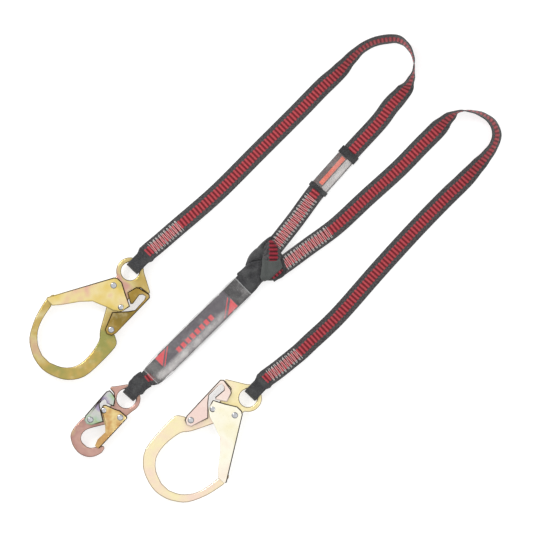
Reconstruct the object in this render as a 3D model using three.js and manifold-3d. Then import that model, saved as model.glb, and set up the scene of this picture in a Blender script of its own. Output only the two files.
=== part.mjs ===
// Twin-leg shock absorbing lanyard, laid out on the ground with its hooks lying flat.
// Millimetres, +Z up. The origin is the middle of the footprint, at ground level.
import * as THREE from 'three';
import { mergeVertices } from 'three/addons/utils/BufferGeometryUtils.js';
import Module from 'manifold-3d';

const wasm = await Module();
wasm.setup();

// ---------------------------------------------------------------- driving dimensions
const GAP = 0.3;                                  // clearance between pieces that rest together
const LAYOUT_CENTRE = [-1.39, -2.74];              // middle of the laid-out footprint
const WEBBING = { width: 30, loopWidth: 20, thickness: 2.2 };
const PLY = WEBBING.thickness + GAP;              // height of one doubled-back layer
const LOOP = { width: 22, wall: 0.7, innerRadius: 8.5, axisToEye: 16.6, reach: 26 };
const LOOP_THICKNESS = WEBBING.thickness + 2 * (GAP + LOOP.wall);
const STITCH = { pitch: 3, halfSpan: 10.5, thread: 0.8 };
const HOOK_HEIGHT = 13;                           // height of a hook's middle plane
const GROUND_CLEARANCE = 0.2;
const COVER = {
  width: 42, thickness: 18, wall: 0.5, cornerRadius: 3, start: [-191, -183], end: [-37.9, -32],
};
const TEAR_WEBBING = { width: 38, thickness: 2.3, layers: 5, from: 36, to: 172 };

// Heights through a hook, measured from its middle plane. The gate's cheeks sit inside the lever's.
const LAYER = {
  plate: 4.5, gateIn: 4.9, gateOut: 6.7, boss: 7.4, leverIn: 7.8, leverOut: 9.8,
};
const SHEET = LAYER.gateOut - LAYER.gateIn;
const RIVET = { shank: 3.2, bore: 3.5, head: 5.6, headHeight: 1.7 };
const TAIL_RIVET = { shank: 2.6, head: 4.4, headHeight: 0.7, gap: 0.1 };
const SPRING = { wire: 0.6, coilRadius: 4.9, turns: 2.5, pitch: 1.35, slot: 2.6 };

// Hook outlines. Each hook has its own axes: the origin is the middle of the eye, x points to the
// gate side and y points down the load line to the bowl.
const LARGE_HOOK = {
  eyeHole: 15, eyeRim: 23, rimFrom: 62, rimTo: -139,
  gatePivot: [3.5, 35.6], tailPin: [-30.2, 53], leverPivot: [-44.1, 91.1],
  shoulder: [[-44.5, 0], [-48.5, 2.6], [-47.5, 6.6], [-31, 8.2]],
  notch: { radius: 33.8, from: 205, to: 152 },
  spine: [[-28.5, 57.6], [-41.5, 57.6], [-47.6, 86], [-49.6, 92.8], [-55.3, 93.6]],
  bowlOuter: [[-64, 98.5], [-69.1, 108], [-69.6, 142], [-66, 177.5], [-50.7, 200],
    [-31, 211.5], [-9.2, 217], [11, 214.5], [26.2, 208], [44.6, 193.5], [59.7, 164], [67.6, 133]],
  nose: [[66.6, 118], [64.4, 114.9], [61.6, 114.6], [58, 118.5]],
  bowlInner: [[54, 132.7], [49.5, 157], [41.3, 176.7], [26, 192.5], [8, 200.5]],
  seat: [-8, 200.5],
  bowlInnerBack: [[-29, 191.5], [-43.5, 175], [-47.6, 150], [-42.6, 119.1], [-31.2, 104]],
  throat: [-13, 70],
  lobe: { radius: 8.3, from: 52, to: -38 },
  gate: {
    cheek: [[-40.2, 42.6], [-37.5, 40.4], [-21.5, 32.6], [-3, 22.2], [7.6, 22.4], [12.4, 26],
      [69.4, 126], [67.4, 129.6], [53.4, 129.8], [43.2, 118.5], [25.5, 94.5], [10.1, 78.5],
      [-1, 74.5], [-13, 69.5], [-24, 66.5], [-36.4, 57]],
    webFrom: [15.4, 32], webTo: [60.6, 111.2],
  },
  lever: {
    web: [[-54.2, 9], [-54.2, 88.5]],
    cheek: [[-54.2, 9], [-49.6, 5.2], [-30, 9], [-25.2, 12.2], [-20.8, 28.4], [-37.6, 38.6],
      [-40.6, 35.6], [-38.2, 17.6], [-41.6, 13.4], [-47.4, 12.2], [-49.4, 18], [-50, 40.5],
      [-43.2, 49.8], [-25.2, 69.2], [-36.2, 98.2], [-44, 101.6], [-51.6, 98], [-54.2, 90]],
  },
  gateSlot: [[-6, 26], [16, 66]], gateSpringAngle: 60, gateSpringReach: 30,
  leverSpringAngle: -93, leverSpringReach: 34,
};

const SMALL_HOOK = {
  eyeHole: 16, eyeRim: 23.5, rimFrom: 22, rimTo: -128,
  gatePivot: [13.4, 30], tailPin: [-14.5, 39.1], leverPivot: [-21, 65.8],
  shoulder: [[-26.8, -3.2], [-31.5, 1.6], [-31, 5.8], [-21, 7.4]],
  notch: { radius: 25.4, from: 203, to: 158 },
  spine: [[-12.2, 43.6], [-20.5, 43.6], [-24.4, 61], [-26.6, 67.4], [-30.6, 68]],
  bowlOuter: [[-32.4, 74], [-32.2, 92], [-29.4, 104.5], [-22.8, 111.5], [-12, 117.4],
    [2, 119.4], [15.7, 115.2], [25, 106], [29.6, 94]],
  nose: [[28.6, 86], [26, 83.4], [23.2, 84], [20, 87.5]],
  bowlInner: [[14.7, 94.5], [11, 99.5], [5, 102.6]],
  seat: [-5, 102.6],
  bowlInnerBack: [[-11.6, 99.4], [-15.2, 92], [-14.4, 82], [-8, 71]],
  throat: [1.5, 57],
  lobe: { radius: 6.4, from: 75, to: -32 },
  gate: {
    cheek: [[-21.4, 33.6], [-18.4, 30.4], [-3.4, 25.6], [5.6, 21.6], [21.4, 21.4], [23, 23.4],
      [21.8, 90.6], [20.2, 92.8], [13.4, 92.6], [9.8, 82], [11.4, 64.6], [4.6, 57.4],
      [-4.6, 51], [-13.4, 44.8], [-19, 42.4]],
    webFrom: [22.8, 31], webTo: [22, 80.4],
  },
  lever: {
    web: [[-32.4, 13.6], [-31.6, 64]],
    cheek: [[-32.4, 13.6], [-29.6, 8.2], [-22.8, 8.4], [-13.4, 11.6], [-6.4, 23.6], [-18.6, 27.6],
      [-22.2, 24.8], [-25.8, 24.6], [-28.6, 33.6], [-24.4, 38.4], [-2.2, 53.6],
      [-13.6, 71.2], [-21.2, 75], [-28.2, 72.6], [-31.6, 66]],
  },
  gateSlot: [[3, 22], [26, 52]], gateSpringAngle: 86, gateSpringReach: 20,
  leverSpringAngle: -99, leverSpringReach: 22,
};

// Where each hook lies. The heading turns its load line; a turned hook lies on its other face.
const HOOKS = [
  { name: 'hook_a', size: LARGE_HOOK, eye: [-225.1, -7.9], heading: 136.2, turned: false },
  { name: 'hook_b', size: LARGE_HOOK, eye: [-30.5, -217], heading: 137, turned: true },
  { name: 'snap_hook', size: SMALL_HOOK, eye: [-231.3, -217.8], heading: 138.1, turned: true },
];

// Leg centrelines from hook to junction: x, y, lift above the ground, and the strap's roll about its
// own length. Each leg stands up on edge and turns over once in its U-bend.
const LEG_A = {
  name: 'leg_a',
  hook: HOOKS[0],
  run: [[-176, 39.5, 8.8, 0], [-157, 56, 5, 0], [-136, 74, 2.6, 0], [-116, 91, 2.4, 0],
    [-81, 122, 0, 0], [-13, 190, 0, 0], [55, 258, 0, 0], [93, 297, 0, 8], [119, 321, 0, 26],
    [137, 341, 0, 46], [156, 359, 0, 58], [176, 370, 0, 60], [198, 375, 0, 60], [217, 375, 0, 64],
    [232, 365, 0, 74], [242, 346, 0, 84], [243, 326, 0, 94], [237, 306, 0, 115], [226, 289, 0, 150],
    [204, 264, 0, 178], [188, 242, 0.6, 180], [145, 195, 2.5, 180], [110, 156, 2.5, 180],
    [83, 125, 2.5, 180], [47, 76, 4, 180], [14, 34, 5.7, 180], [-8, 6, 5.7, 180]],
  hookTail: 76, junctionTail: 138,
};
const LEG_B = {
  name: 'leg_b',
  hook: HOOKS[1],
  run: [[18, -171, 8.8, 0], [38, -155, 5, 0], [55, -141, 2.6, 0], [74, -123, 2.4, 0],
    [97, -102, 0, 0], [121, -78, 0, 0], [187, -3, 0, 0], [253, 69, 0, 0], [301, 118, 0, 6],
    [325, 141, 0, 16], [348, 166, 0, 36], [364, 184, 0, 52], [375, 200, 0, 60], [380, 217, 0, 60],
    [374, 236, 0, 66], [359, 249, 0, 74], [338, 256, 0, 84], [317, 256, 0, 96], [300, 245, 0, 128],
    [278, 222, 0, 176], [255, 199, 0, 180], [220, 163, 0, 180], [165, 113, 0, 180],
    [113, 65, 2.4, 180], [68, 32, 6, 180], [30, 4, 10.7, 180], [6, -12, 10.7, 180]],
  hookTail: 76, junctionTail: 122,
};
const STITCHED = { hook: [8, 66], junctionA: [34, 134], junctionB: [34, 118] };

// The label pouch on leg A: a film sleeve around the strap, held by two elastic bands.
const POUCH = { from: 150, to: 232, width: 32, thickness: 5, wall: 0.4 };
const BAND = { width: 34.4, thickness: 7.4, wall: 0.9, lower: [149, 158], upper: [222, 236] };
const POUCH_LABEL = { margin: 6, width: 27, thickness: 0.4, height: 1.65 };

// The wrap over the sewn junction, and the ways into it: inner end, heading and width.
const WRAP = {
  outline: [[-36, -16], [-31, 8], [-16, 27], [4, 44], [21, 36], [32, 28], [47, 32], [53, 8],
    [33, -20], [8, -29], [-12, -36]],
  top: 17.6, skin: 0.6, reach: 90,
  ways: [[12, 16, 224.6, 43], [-12, 1, 51.8, 33], [1.6, -15, 35, 33.6]],
};
const TOP_STRAP = {
  start: 178, knee: 202, open: 225, end: [4, 9], startWidth: 38, endWidth: 30, low: 2.1, high: 14.9,
};
const BOTTOM_STRAP = { start: 30, knee: 4, width: 34 };
const ABSORBER_LABEL = { from: 26, to: 186, width: 34, thickness: 0.4, height: 16.2 };

// ---------------------------------------------------------------- colours
const finish = (color, roughness, metalness) => (
  new THREE.MeshStandardMaterial({ color, roughness, metalness })
);
const FINISHES = {
  goldSteel: () => finish(0xc9a85e, 0.32, 1),
  paleSteel: () => finish(0xd8c9a0, 0.3, 1),
  rivetSteel: () => finish(0xb9bcc2, 0.25, 1),
  springSteel: () => finish(0x8c8f94, 0.35, 1),
  redWebbing: () => finish(0x8e2128, 0.9, 0),
  blackWebbing: () => finish(0x1c1b1e, 0.92, 0),
  thread: () => finish(0xd9d5d2, 0.85, 0),
  film: () => finish(0xb9bcc0, 0.2, 0),
  label: () => finish(0x3a3c42, 0.6, 0),
};

// ---------------------------------------------------------------- geometry helpers
const radians = THREE.MathUtils.degToRad;
const UP = new THREE.Vector3(0, 0, 1);
const add3 = (p, q, scale = 1) => p.clone().addScaledVector(q, scale);

function toSolid(geometry) {
  const bare = new THREE.BufferGeometry();
  bare.setAttribute('position', geometry.getAttribute('position').clone());
  if (geometry.index) bare.setIndex(geometry.index.clone());
  const merged = mergeVertices(bare, 1e-4);
  return new wasm.Manifold(new wasm.Mesh({
    numProp: 3,
    vertProperties: new Float32Array(merged.getAttribute('position').array),
    triVerts: new Uint32Array(merged.index.array),
  }));
}

function toGeometry(solid) {
  const { vertProperties, triVerts, numProp } = solid.getMesh();
  const positions = [];
  for (let i = 0; i < vertProperties.length; i += numProp) {
    positions.push(vertProperties[i], vertProperties[i + 1], vertProperties[i + 2]);
  }
  const geometry = new THREE.BufferGeometry();
  geometry.setAttribute('position', new THREE.Float32BufferAttribute(positions, 3));
  geometry.setIndex(Array.from(triVerts));
  geometry.computeVertexNormals();
  return geometry;
}

const cut = (geometry, ...tools) => toGeometry(
  tools.reduce((solid, tool) => solid.subtract(toSolid(tool)), toSolid(geometry)),
);
const join = (first, ...others) => toGeometry(
  others.reduce((solid, other) => solid.add(toSolid(other)), toSolid(first)),
);

// A flat plate of the given outline between two heights, with its edges rounded off.
function plate(shape, low, high, round = 0) {
  const geometry = new THREE.ExtrudeGeometry(shape, {
    depth: high - low - 2 * round,
    bevelEnabled: round > 0,
    bevelThickness: round,
    bevelSize: round,
    bevelOffset: -round,
    bevelSegments: 1,
  });
  return geometry.translate(0, 0, low + round);
}

const flatPoints = (points) => points.map(([x, y]) => new THREE.Vector2(x, y));
const polygon = (points) => new THREE.Shape(flatPoints(points));

function disc(radius, low, high, [x, y] = [0, 0], segments = 16) {
  return new THREE.CylinderGeometry(radius, radius, high - low, segments)
    .rotateX(Math.PI / 2)
    .translate(x, y, (low + high) / 2);
}

function box([x0, y0], [x1, y1], low, high) {
  return new THREE.BoxGeometry(x1 - x0, y1 - y0, high - low)
    .translate((x0 + x1) / 2, (y0 + y1) / 2, (low + high) / 2);
}

// A solid swept through stations. A station is { p, w, n }: a point, and the section's two axes.
// The section runs anticlockwise; with an inner section the sweep is a tube with open ends.
function sweep(stations, section, inner = null) {
  const count = section.length;
  const positions = [];
  const faces = [];
  const addRings = (outline) => {
    const first = positions.length / 3;
    for (const { p, w, n, widen = 1 } of stations) {
      for (const [a, b] of outline) {
        const corner = add3(add3(p, w, a * widen), n, b);
        positions.push(corner.x, corner.y, corner.z);
      }
    }
    return first;
  };
  const quad = (a, b, c, d) => faces.push(a, b, c, a, c, d);
  const walls = (first, inward) => {
    for (let k = 0; k + 1 < stations.length; k += 1) {
      for (let i = 0; i < count; i += 1) {
        const j = (i + 1) % count;
        const [a, b] = [first + k * count + i, first + k * count + j];
        if (inward) quad(a, a + count, b + count, b);
        else quad(a, b, b + count, a + count);
      }
    }
  };
  const outerFirst = addRings(section);
  walls(outerFirst, false);
  const lastRing = (stations.length - 1) * count;
  if (inner) {
    const innerFirst = addRings(inner);
    walls(innerFirst, true);
    for (let i = 0; i < count; i += 1) {
      const j = (i + 1) % count;
      const [outerLast, innerLast] = [outerFirst + lastRing, innerFirst + lastRing];
      quad(outerFirst + i, innerFirst + i, innerFirst + j, outerFirst + j);
      quad(outerLast + j, innerLast + j, innerLast + i, outerLast + i);
    }
  } else {
    for (let i = 1; i + 1 < count; i += 1) {
      faces.push(outerFirst, outerFirst + i + 1, outerFirst + i);
      faces.push(outerFirst + lastRing, outerFirst + lastRing + i, outerFirst + lastRing + i + 1);
    }
  }
  const geometry = new THREE.BufferGeometry();
  geometry.setAttribute('position', new THREE.Float32BufferAttribute(positions, 3));
  geometry.setIndex(faces);
  geometry.computeVertexNormals();
  return geometry;
}

const rectangle = (width, height, offset = 0) => [
  [-width / 2, offset - height / 2], [width / 2, offset - height / 2],
  [width / 2, offset + height / 2], [-width / 2, offset + height / 2],
];

// Gives each station its normal, square to the path and to the strap's width.
function withNormals(stations) {
  return stations.map((station, i) => {
    const before = stations[Math.max(i - 1, 0)].p;
    const after = stations[Math.min(i + 1, stations.length - 1)].p;
    const tangent = after.clone().sub(before).normalize();
    const w = add3(station.w, tangent, -station.w.dot(tangent)).normalize();
    return { ...station, w, n: tangent.clone().cross(w), tangent };
  });
}

// ---------------------------------------------------------------- hooks
const ARC_STEP = 13;

function arc([x, y], radius, from, to) {
  const steps = Math.ceil(Math.abs(to - from) / ARC_STEP);
  return Array.from({ length: steps + 1 }, (_, i) => {
    const angle = radians(from + (to - from) * i / steps);
    return [x + radius * Math.cos(angle), y + radius * Math.sin(angle)];
  });
}

const SMOOTH_SPAN = 3;

const smooth = (points, perSpan = SMOOTH_SPAN) => new THREE.SplineCurve(flatPoints(points))
  .getPoints((points.length - 1) * perSpan)
  .map(({ x, y }) => [x, y]);

function bodyOutline(hook) {
  const shape = polygon([
    ...arc([0, 0], hook.eyeRim, hook.rimFrom, hook.rimTo),
    ...hook.shoulder,
    ...arc(hook.gatePivot, hook.notch.radius, hook.notch.from, hook.notch.to),
    ...hook.spine,
    ...smooth(hook.bowlOuter),
    ...hook.nose,
    ...smooth(hook.bowlInner),
    ...smooth([hook.seat, ...hook.bowlInnerBack, hook.throat]),
    ...arc(hook.gatePivot, hook.lobe.radius, hook.lobe.from, hook.lobe.to),
  ]);
  shape.holes.push(polygon(arc([0, 0], hook.eyeHole, 0, 360).slice(1)));
  return shape;
}

function bodyGeometry(hook) {
  const { plate: half, boss } = LAYER;
  const blank = plate(bodyOutline(hook), -half, half, 1.3);
  const springSlot = SPRING.slot;
  return cut(
    join(blank, disc(RIVET.head + 1.6, -boss, boss, hook.leverPivot)),
    disc(RIVET.bore, -boss - 1, boss + 1, hook.gatePivot),
    disc(RIVET.bore, -boss - 1, boss + 1, hook.leverPivot),
    box(...hook.gateSlot, -springSlot, springSlot),
    disc(SPRING.coilRadius + 1.6, -springSlot, springSlot, hook.leverPivot),
    box([hook.leverPivot[0] - 30, hook.leverPivot[1] - 10], hook.leverPivot, -springSlot, springSlot),
  );
}

// A U-channel of folded sheet: two cheeks of one outline joined by a web along one edge.
function channel(cheek, web, innerHeight, outerHeight, bores) {
  const [from, to] = flatPoints(web);
  const along = to.clone().sub(from).normalize();
  const middle = flatPoints(cheek).reduce((sum, point) => sum.add(point)).divideScalar(cheek.length);
  const inward = new THREE.Vector2(-along.y, along.x);
  if (inward.dot(middle.clone().sub(from)) < 0) inward.negate();
  const strip = [from, to, ...[to, from].map((end) => end.clone().addScaledVector(inward, SHEET))];
  const blank = join(
    plate(polygon(cheek), innerHeight, outerHeight),
    plate(polygon(cheek), -outerHeight, -innerHeight),
    plate(new THREE.Shape(strip), -outerHeight, outerHeight),
  );
  return cut(blank, ...bores.map((centre) => disc(RIVET.bore, -outerHeight - 1, outerHeight + 1, centre)));
}

// A domed rivet along z through the origin, with its heads bearing at the given height.
function rivetGeometry(bearing, { shank, head, headHeight } = RIVET) {
  const dome = [0, 0.55, 1].map((part) => {
    const angle = part * Math.PI / 2;
    return [head * Math.cos(angle), bearing + headHeight * Math.sin(angle)];
  });
  const upper = [[shank, bearing], ...dome];
  const lower = upper.map(([r, z]) => [r, -z]).reverse();
  const profile = [...lower, ...upper].map(([r, z]) => new THREE.Vector2(Math.max(r, 0), z));
  profile[0].x = 0;
  profile[profile.length - 1].x = 0;
  return new THREE.LatheGeometry(profile, 12).rotateX(Math.PI / 2);
}

// A torsion spring around a pivot: a short coil whose one end runs out straight along the web.
class SpringCurve extends THREE.Curve {
  constructor(angle, reach, height) {
    super();
    Object.assign(this, { angle, reach, height });
    this.coilShare = 0.84;
  }

  getPoint(t, target = new THREE.Vector3()) {
    const side = this.angle + Math.PI / 2;
    const coil = Math.min(t / this.coilShare, 1);
    const turned = side - (1 - coil) * SPRING.turns * 2 * Math.PI;
    const z = this.height - (1 - coil) * SPRING.turns * SPRING.pitch;
    target.set(SPRING.coilRadius * Math.cos(turned), SPRING.coilRadius * Math.sin(turned), z);
    const out = Math.max(t - this.coilShare, 0) / (1 - this.coilShare) * this.reach;
    return target.add(new THREE.Vector3(-out * Math.cos(this.angle), -out * Math.sin(this.angle), 0));
  }
}

function springGeometry(angle, reach) {
  const section = new THREE.Shape();
  section.absarc(0, 0, SPRING.wire, 0, 2 * Math.PI, false);
  const height = SPRING.turns * SPRING.pitch / 2;
  return new THREE.ExtrudeGeometry(section, {
    steps: 28,
    curveSegments: 2,
    bevelEnabled: false,
    extrudePath: new SpringCurve(radians(angle + 180), reach, height),
  });
}

function hookGroup({ name, size, eye, heading, turned }) {
  const at = ([x, y], mesh) => {
    mesh.position.set(x, y, 0);
    return mesh;
  };
  const named = (piece, geometry, material) => part(`${name}_${piece}`, geometry, material);
  const rivet = (piece, bearing, kind) => named(piece, rivetGeometry(bearing, kind), FINISHES.rivetSteel());
  const { gate, lever } = size;
  const group = new THREE.Group();
  group.add(
    named('body', bodyGeometry(size), FINISHES.goldSteel()),
    named('gate', channel(gate.cheek, [gate.webFrom, gate.webTo], LAYER.gateIn, LAYER.gateOut,
      [size.gatePivot, size.tailPin]), FINISHES.paleSteel()),
    named('lock_lever', channel(lever.cheek, lever.web, LAYER.leverIn, LAYER.leverOut,
      [size.leverPivot]), FINISHES.paleSteel()),
    at(size.gatePivot, rivet('gate_pivot_rivet', LAYER.gateOut + GAP)),
    at(size.tailPin, rivet('gate_tail_rivet', LAYER.gateOut + TAIL_RIVET.gap, TAIL_RIVET)),
    at(size.leverPivot, rivet('lever_pivot_rivet', LAYER.leverOut + GAP)),
    at(size.gatePivot, named('gate_spring',
      springGeometry(size.gateSpringAngle, size.gateSpringReach), FINISHES.springSteel())),
    at(size.leverPivot, named('lever_spring',
      springGeometry(size.leverSpringAngle, size.leverSpringReach), FINISHES.springSteel())),
  );
  group.position.set(eye[0], eye[1], HOOK_HEIGHT);
  group.rotation.set(0, turned ? Math.PI : 0, radians(heading), 'ZYX');
  return group;
}

// ---------------------------------------------------------------- webbing
function loadLine({ heading }) {
  const angle = radians(heading);
  return new THREE.Vector3(-Math.sin(angle), Math.cos(angle), 0);
}

// Middle of the strap loop in a hook's eye: the axis that the hook swings about.
function loopCentre(hook) {
  const eye = new THREE.Vector3(hook.eye[0], hook.eye[1], HOOK_HEIGHT);
  return add3(eye, loadLine(hook), -LOOP.axisToEye);
}

// Stations around a hook's eye, from the lower layer to the upper one.
function loopStations(hook, strapWidth) {
  const centre = loopCentre(hook);
  const towards = loadLine(hook);
  const across = towards.clone().cross(UP);
  const radius = LOOP.innerRadius + LOOP_THICKNESS / 2;
  const neck = [-LOOP.reach + 7, 4.6];
  const angles = Array.from({ length: 13 }, (_, i) => -132 + 22 * i);
  const places = [
    [neck[0], -neck[1]],
    ...angles.map((angle) => [radius * Math.cos(radians(angle)), radius * Math.sin(radians(angle))]),
    neck,
  ];
  return places.map(([along, height]) => ({
    p: add3(add3(centre, towards, along), UP, height),
    w: across,
    widen: WEBBING.loopWidth / strapWidth,
  }));
}

// The single run of a leg, hook end first.
function runStations(leg) {
  const start = add3(loopCentre(leg.hook), loadLine(leg.hook), -LOOP.reach - 3);
  const flat = GROUND_CLEARANCE + WEBBING.thickness / 2;
  const controls = [[start.x, start.y, HOOK_HEIGHT + PLY / 2 - flat, 0], ...leg.run];
  const curve = (pick, type) => new THREE.CatmullRomCurve3(controls.map(pick), false, type, 0);
  const path = curve(([x, y]) => new THREE.Vector3(x, y, 0), 'centripetal');
  const stance = curve(([, , lift, roll]) => new THREE.Vector3(lift, roll, 0), 'catmullrom');
  const samples = (controls.length - 1) * 4;
  const stations = [];
  let along = 0;
  for (let i = 0; i <= samples; i += 1) {
    const { x: lift, y: roll } = stance.getPoint(i / samples);
    const turn = radians(roll);
    const onEdge = WEBBING.width / 2 * Math.abs(Math.sin(turn));
    const onFace = WEBBING.thickness / 2 * Math.abs(Math.cos(turn));
    const p = path.getPoint(i / samples).setZ(GROUND_CLEARANCE + onEdge + onFace + lift);
    const tangent = path.getTangent(i / samples);
    const w = UP.clone().cross(tangent).normalize().applyAxisAngle(tangent, turn);
    if (i > 0) along += p.distanceTo(stations[i - 1].p);
    stations.push({ p, w, along });
  }
  return stations.map((station) => ({ ...station, left: along - station.along }));
}

const raised = (stations, height) => stations.map((s) => ({ ...s, p: add3(s.p, UP, height) }));

// A tight fold from one layer to the next, beyond the end of a straight stretch.
function foldStations(end, beyond, rise, across) {
  return [-60, 0, 60].map((angle) => {
    const out = Math.abs(rise) / 2 * Math.cos(radians(angle));
    const up = rise / 2 * (1 + Math.sin(radians(angle)));
    return { p: add3(add3(end, beyond, out), UP, up), w: across };
  });
}

// One leg: tail, eye loop, run, fold at the junction, and second tail, as one strap.
function legStations(leg, run) {
  const hookTail = run.filter(({ along }) => along <= leg.hookTail).reverse();
  const junctionTail = run.filter(({ left }) => left <= leg.junctionTail).reverse();
  const [beforeLast, last] = run.slice(-2);
  const beyond = last.p.clone().sub(beforeLast.p).setZ(0).normalize();
  return withNormals([
    ...raised(hookTail, -PLY),
    ...loopStations(leg.hook, WEBBING.width),
    ...run,
    ...foldStations(last.p, beyond, -PLY, last.w),
    ...raised(junctionTail, -PLY),
  ]);
}

// The black sleeve that covers the strap where it goes through a hook's eye.
function eyeSleeveGeometry(hook) {
  const stations = withNormals(loopStations(hook, WEBBING.loopWidth).slice(1, -1));
  const hole = rectangle(LOOP.width - 2 * LOOP.wall, LOOP_THICKNESS - 2 * LOOP.wall);
  return sweep(stations, rectangle(LOOP.width, LOOP_THICKNESS), hole);
}

// One continuous thread, laid back and forth across a stitched stretch of strap.
function stitchGeometry(run, measure, [from, to]) {
  const zone = run.filter((station) => station[measure] >= from && station[measure] <= to);
  const line = new THREE.CatmullRomCurve3(zone.map(({ p }) => p));
  const rows = Math.floor(line.getLength() / STITCH.pitch);
  const lift = WEBBING.thickness / 2 + GAP + STITCH.thread / 2;
  const corners = [];
  for (let row = 0; row <= rows; row += 1) {
    const side = row % 2 ? -1 : 1;
    const centre = add3(line.getPointAt(row / rows), UP, lift);
    const forward = line.getTangentAt(row / rows).setZ(0).normalize();
    const across = UP.clone().cross(forward);
    const corner = { w: add3(across, forward, side), n: UP };
    corners.push({ ...corner, p: add3(centre, across, side * STITCH.halfSpan) });
    corners.push({ ...corner, p: add3(centre, across, -side * STITCH.halfSpan) });
  }
  const square = (end) => ({ ...end, w: end.w.clone().projectOnVector(line.getTangent(0.5)).normalize() });
  corners[0] = square(corners[0]);
  corners[corners.length - 1] = square(corners[corners.length - 1]);
  return sweep(corners, rectangle(STITCH.thread, STITCH.thread));
}

function legMeshes(leg) {
  const run = runStations(leg);
  const junctionZone = leg === LEG_A ? STITCHED.junctionA : STITCHED.junctionB;
  const strap = sweep(legStations(leg, run), rectangle(WEBBING.width, WEBBING.thickness));
  return [
    part(`${leg.name}_webbing`, strap, FINISHES.redWebbing()),
    part(`${leg.name}_eye_sleeve`, eyeSleeveGeometry(leg.hook), FINISHES.blackWebbing()),
    part(`${leg.name}_hook_stitching`, stitchGeometry(run, 'along', STITCHED.hook), FINISHES.thread()),
    part(`${leg.name}_junction_stitching`, stitchGeometry(run, 'left', junctionZone), FINISHES.thread()),
  ];
}

// ---------------------------------------------------------------- label pouch
function pouchMeshes() {
  const run = withNormals(runStations(LEG_A));
  const stretch = (from, to) => run.filter(({ left }) => left >= from && left <= to);
  const sleeve = (from, to, width, thickness, wall) => sweep(
    stretch(from, to), rectangle(width, thickness), rectangle(width - 2 * wall, thickness - 2 * wall),
  );
  const film = sleeve(POUCH.from, POUCH.to, POUCH.width, POUCH.thickness, POUCH.wall);
  const label = POUCH_LABEL;
  const insert = sweep(
    stretch(POUCH.from + label.margin, POUCH.to - label.margin),
    rectangle(label.width, label.thickness, -label.height),
  );
  const band = ([from, to]) => sweep(
    bandStations(run, (from + to) / 2, to - from),
    rectangle(BAND.width, BAND.thickness),
    rectangle(BAND.width - 2 * BAND.wall, BAND.thickness - 2 * BAND.wall),
  );
  return [
    part('pouch_film', film, FINISHES.film()),
    part('pouch_label', insert, FINISHES.label()),
    part('pouch_lower_band', band(BAND.lower), FINISHES.blackWebbing()),
    part('pouch_upper_band', band(BAND.upper), FINISHES.blackWebbing()),
  ];
}

// Two stations, square to the strap, at the ends of a short band around it.
function bandStations(run, middle, length) {
  const apart = ({ left }) => Math.abs(left - middle);
  const nearest = run.reduce((best, station) => (apart(station) < apart(best) ? station : best));
  return [-length / 2, length / 2].map((offset) => (
    { ...nearest, p: add3(nearest.p, nearest.tangent, offset) }
  ));
}

// ---------------------------------------------------------------- energy absorber
const absorberStart = new THREE.Vector3(...COVER.start, COVER.thickness / 2);
const absorberEnd = new THREE.Vector3(...COVER.end, COVER.thickness / 2);
const absorberAxis = absorberEnd.clone().sub(absorberStart).normalize();
const absorberAcross = UP.clone().cross(absorberAxis);
const absorberLength = absorberEnd.distanceTo(absorberStart);
const absorberPoint = (along, height) => add3(absorberStart, absorberAxis, along).setZ(height);

function straightSweep(from, to, height, section, inner) {
  const stations = [from, to].map((along) => ({ p: absorberPoint(along, height), w: absorberAcross, n: UP }));
  return sweep(stations, section, inner);
}

function roundedRectangle(width, height, radius) {
  const corner = (x, y, from) => arc([x, y], radius, from, from + 90);
  const [right, top] = [width / 2 - radius, height / 2 - radius];
  return [
    ...corner(right, top, 0), ...corner(-right, top, 90),
    ...corner(-right, -top, 180), ...corner(right, -top, 270),
  ];
}

function coverGeometry() {
  const { width, thickness, wall, cornerRadius } = COVER;
  return straightSweep(
    0, absorberLength, thickness / 2,
    roundedRectangle(width, thickness, cornerRadius),
    roundedRectangle(width - 2 * wall, thickness - 2 * wall, cornerRadius - wall),
  );
}

// The tear webbing, folded back and forth into a flat pack.
function tearWebbingGeometry() {
  const { width, thickness, layers, from, to } = TEAR_WEBBING;
  const pitch = thickness + GAP;
  const lowest = COVER.thickness / 2 - (layers - 1) / 2 * pitch;
  const stations = [];
  for (let layer = 0; layer < layers; layer += 1) {
    const forward = layer % 2 === 0;
    const ends = forward ? [from, to] : [to, from];
    const height = lowest + layer * pitch;
    const points = ends.map((along) => absorberPoint(along, height));
    points.forEach((p) => stations.push({ p, w: absorberAcross }));
    const beyond = absorberAxis.clone().multiplyScalar(forward ? 1 : -1);
    if (layer < layers - 1) stations.push(...foldStations(points[1], beyond, pitch, absorberAcross));
  }
  return sweep(withNormals(stations), rectangle(width, thickness));
}

// The doubled strap from the absorber to the snap hook: two plies in the cover and a loop in the eye.
function bottomStrapGeometry() {
  const { start, knee, width } = BOTTOM_STRAP;
  const middle = COVER.thickness / 2;
  const loop = loopStations(HOOKS[2], width).map((s) => ({ ...s, w: s.w.clone().negate() }));
  const plies = (side) => [start, knee].map((along) => ({
    p: absorberPoint(along, middle + side * PLY / 2), w: absorberAcross,
  }));
  const stations = [...plies(-1), ...loop, ...plies(1).reverse()];
  return sweep(withNormals(stations), rectangle(width, WEBBING.thickness));
}

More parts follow.
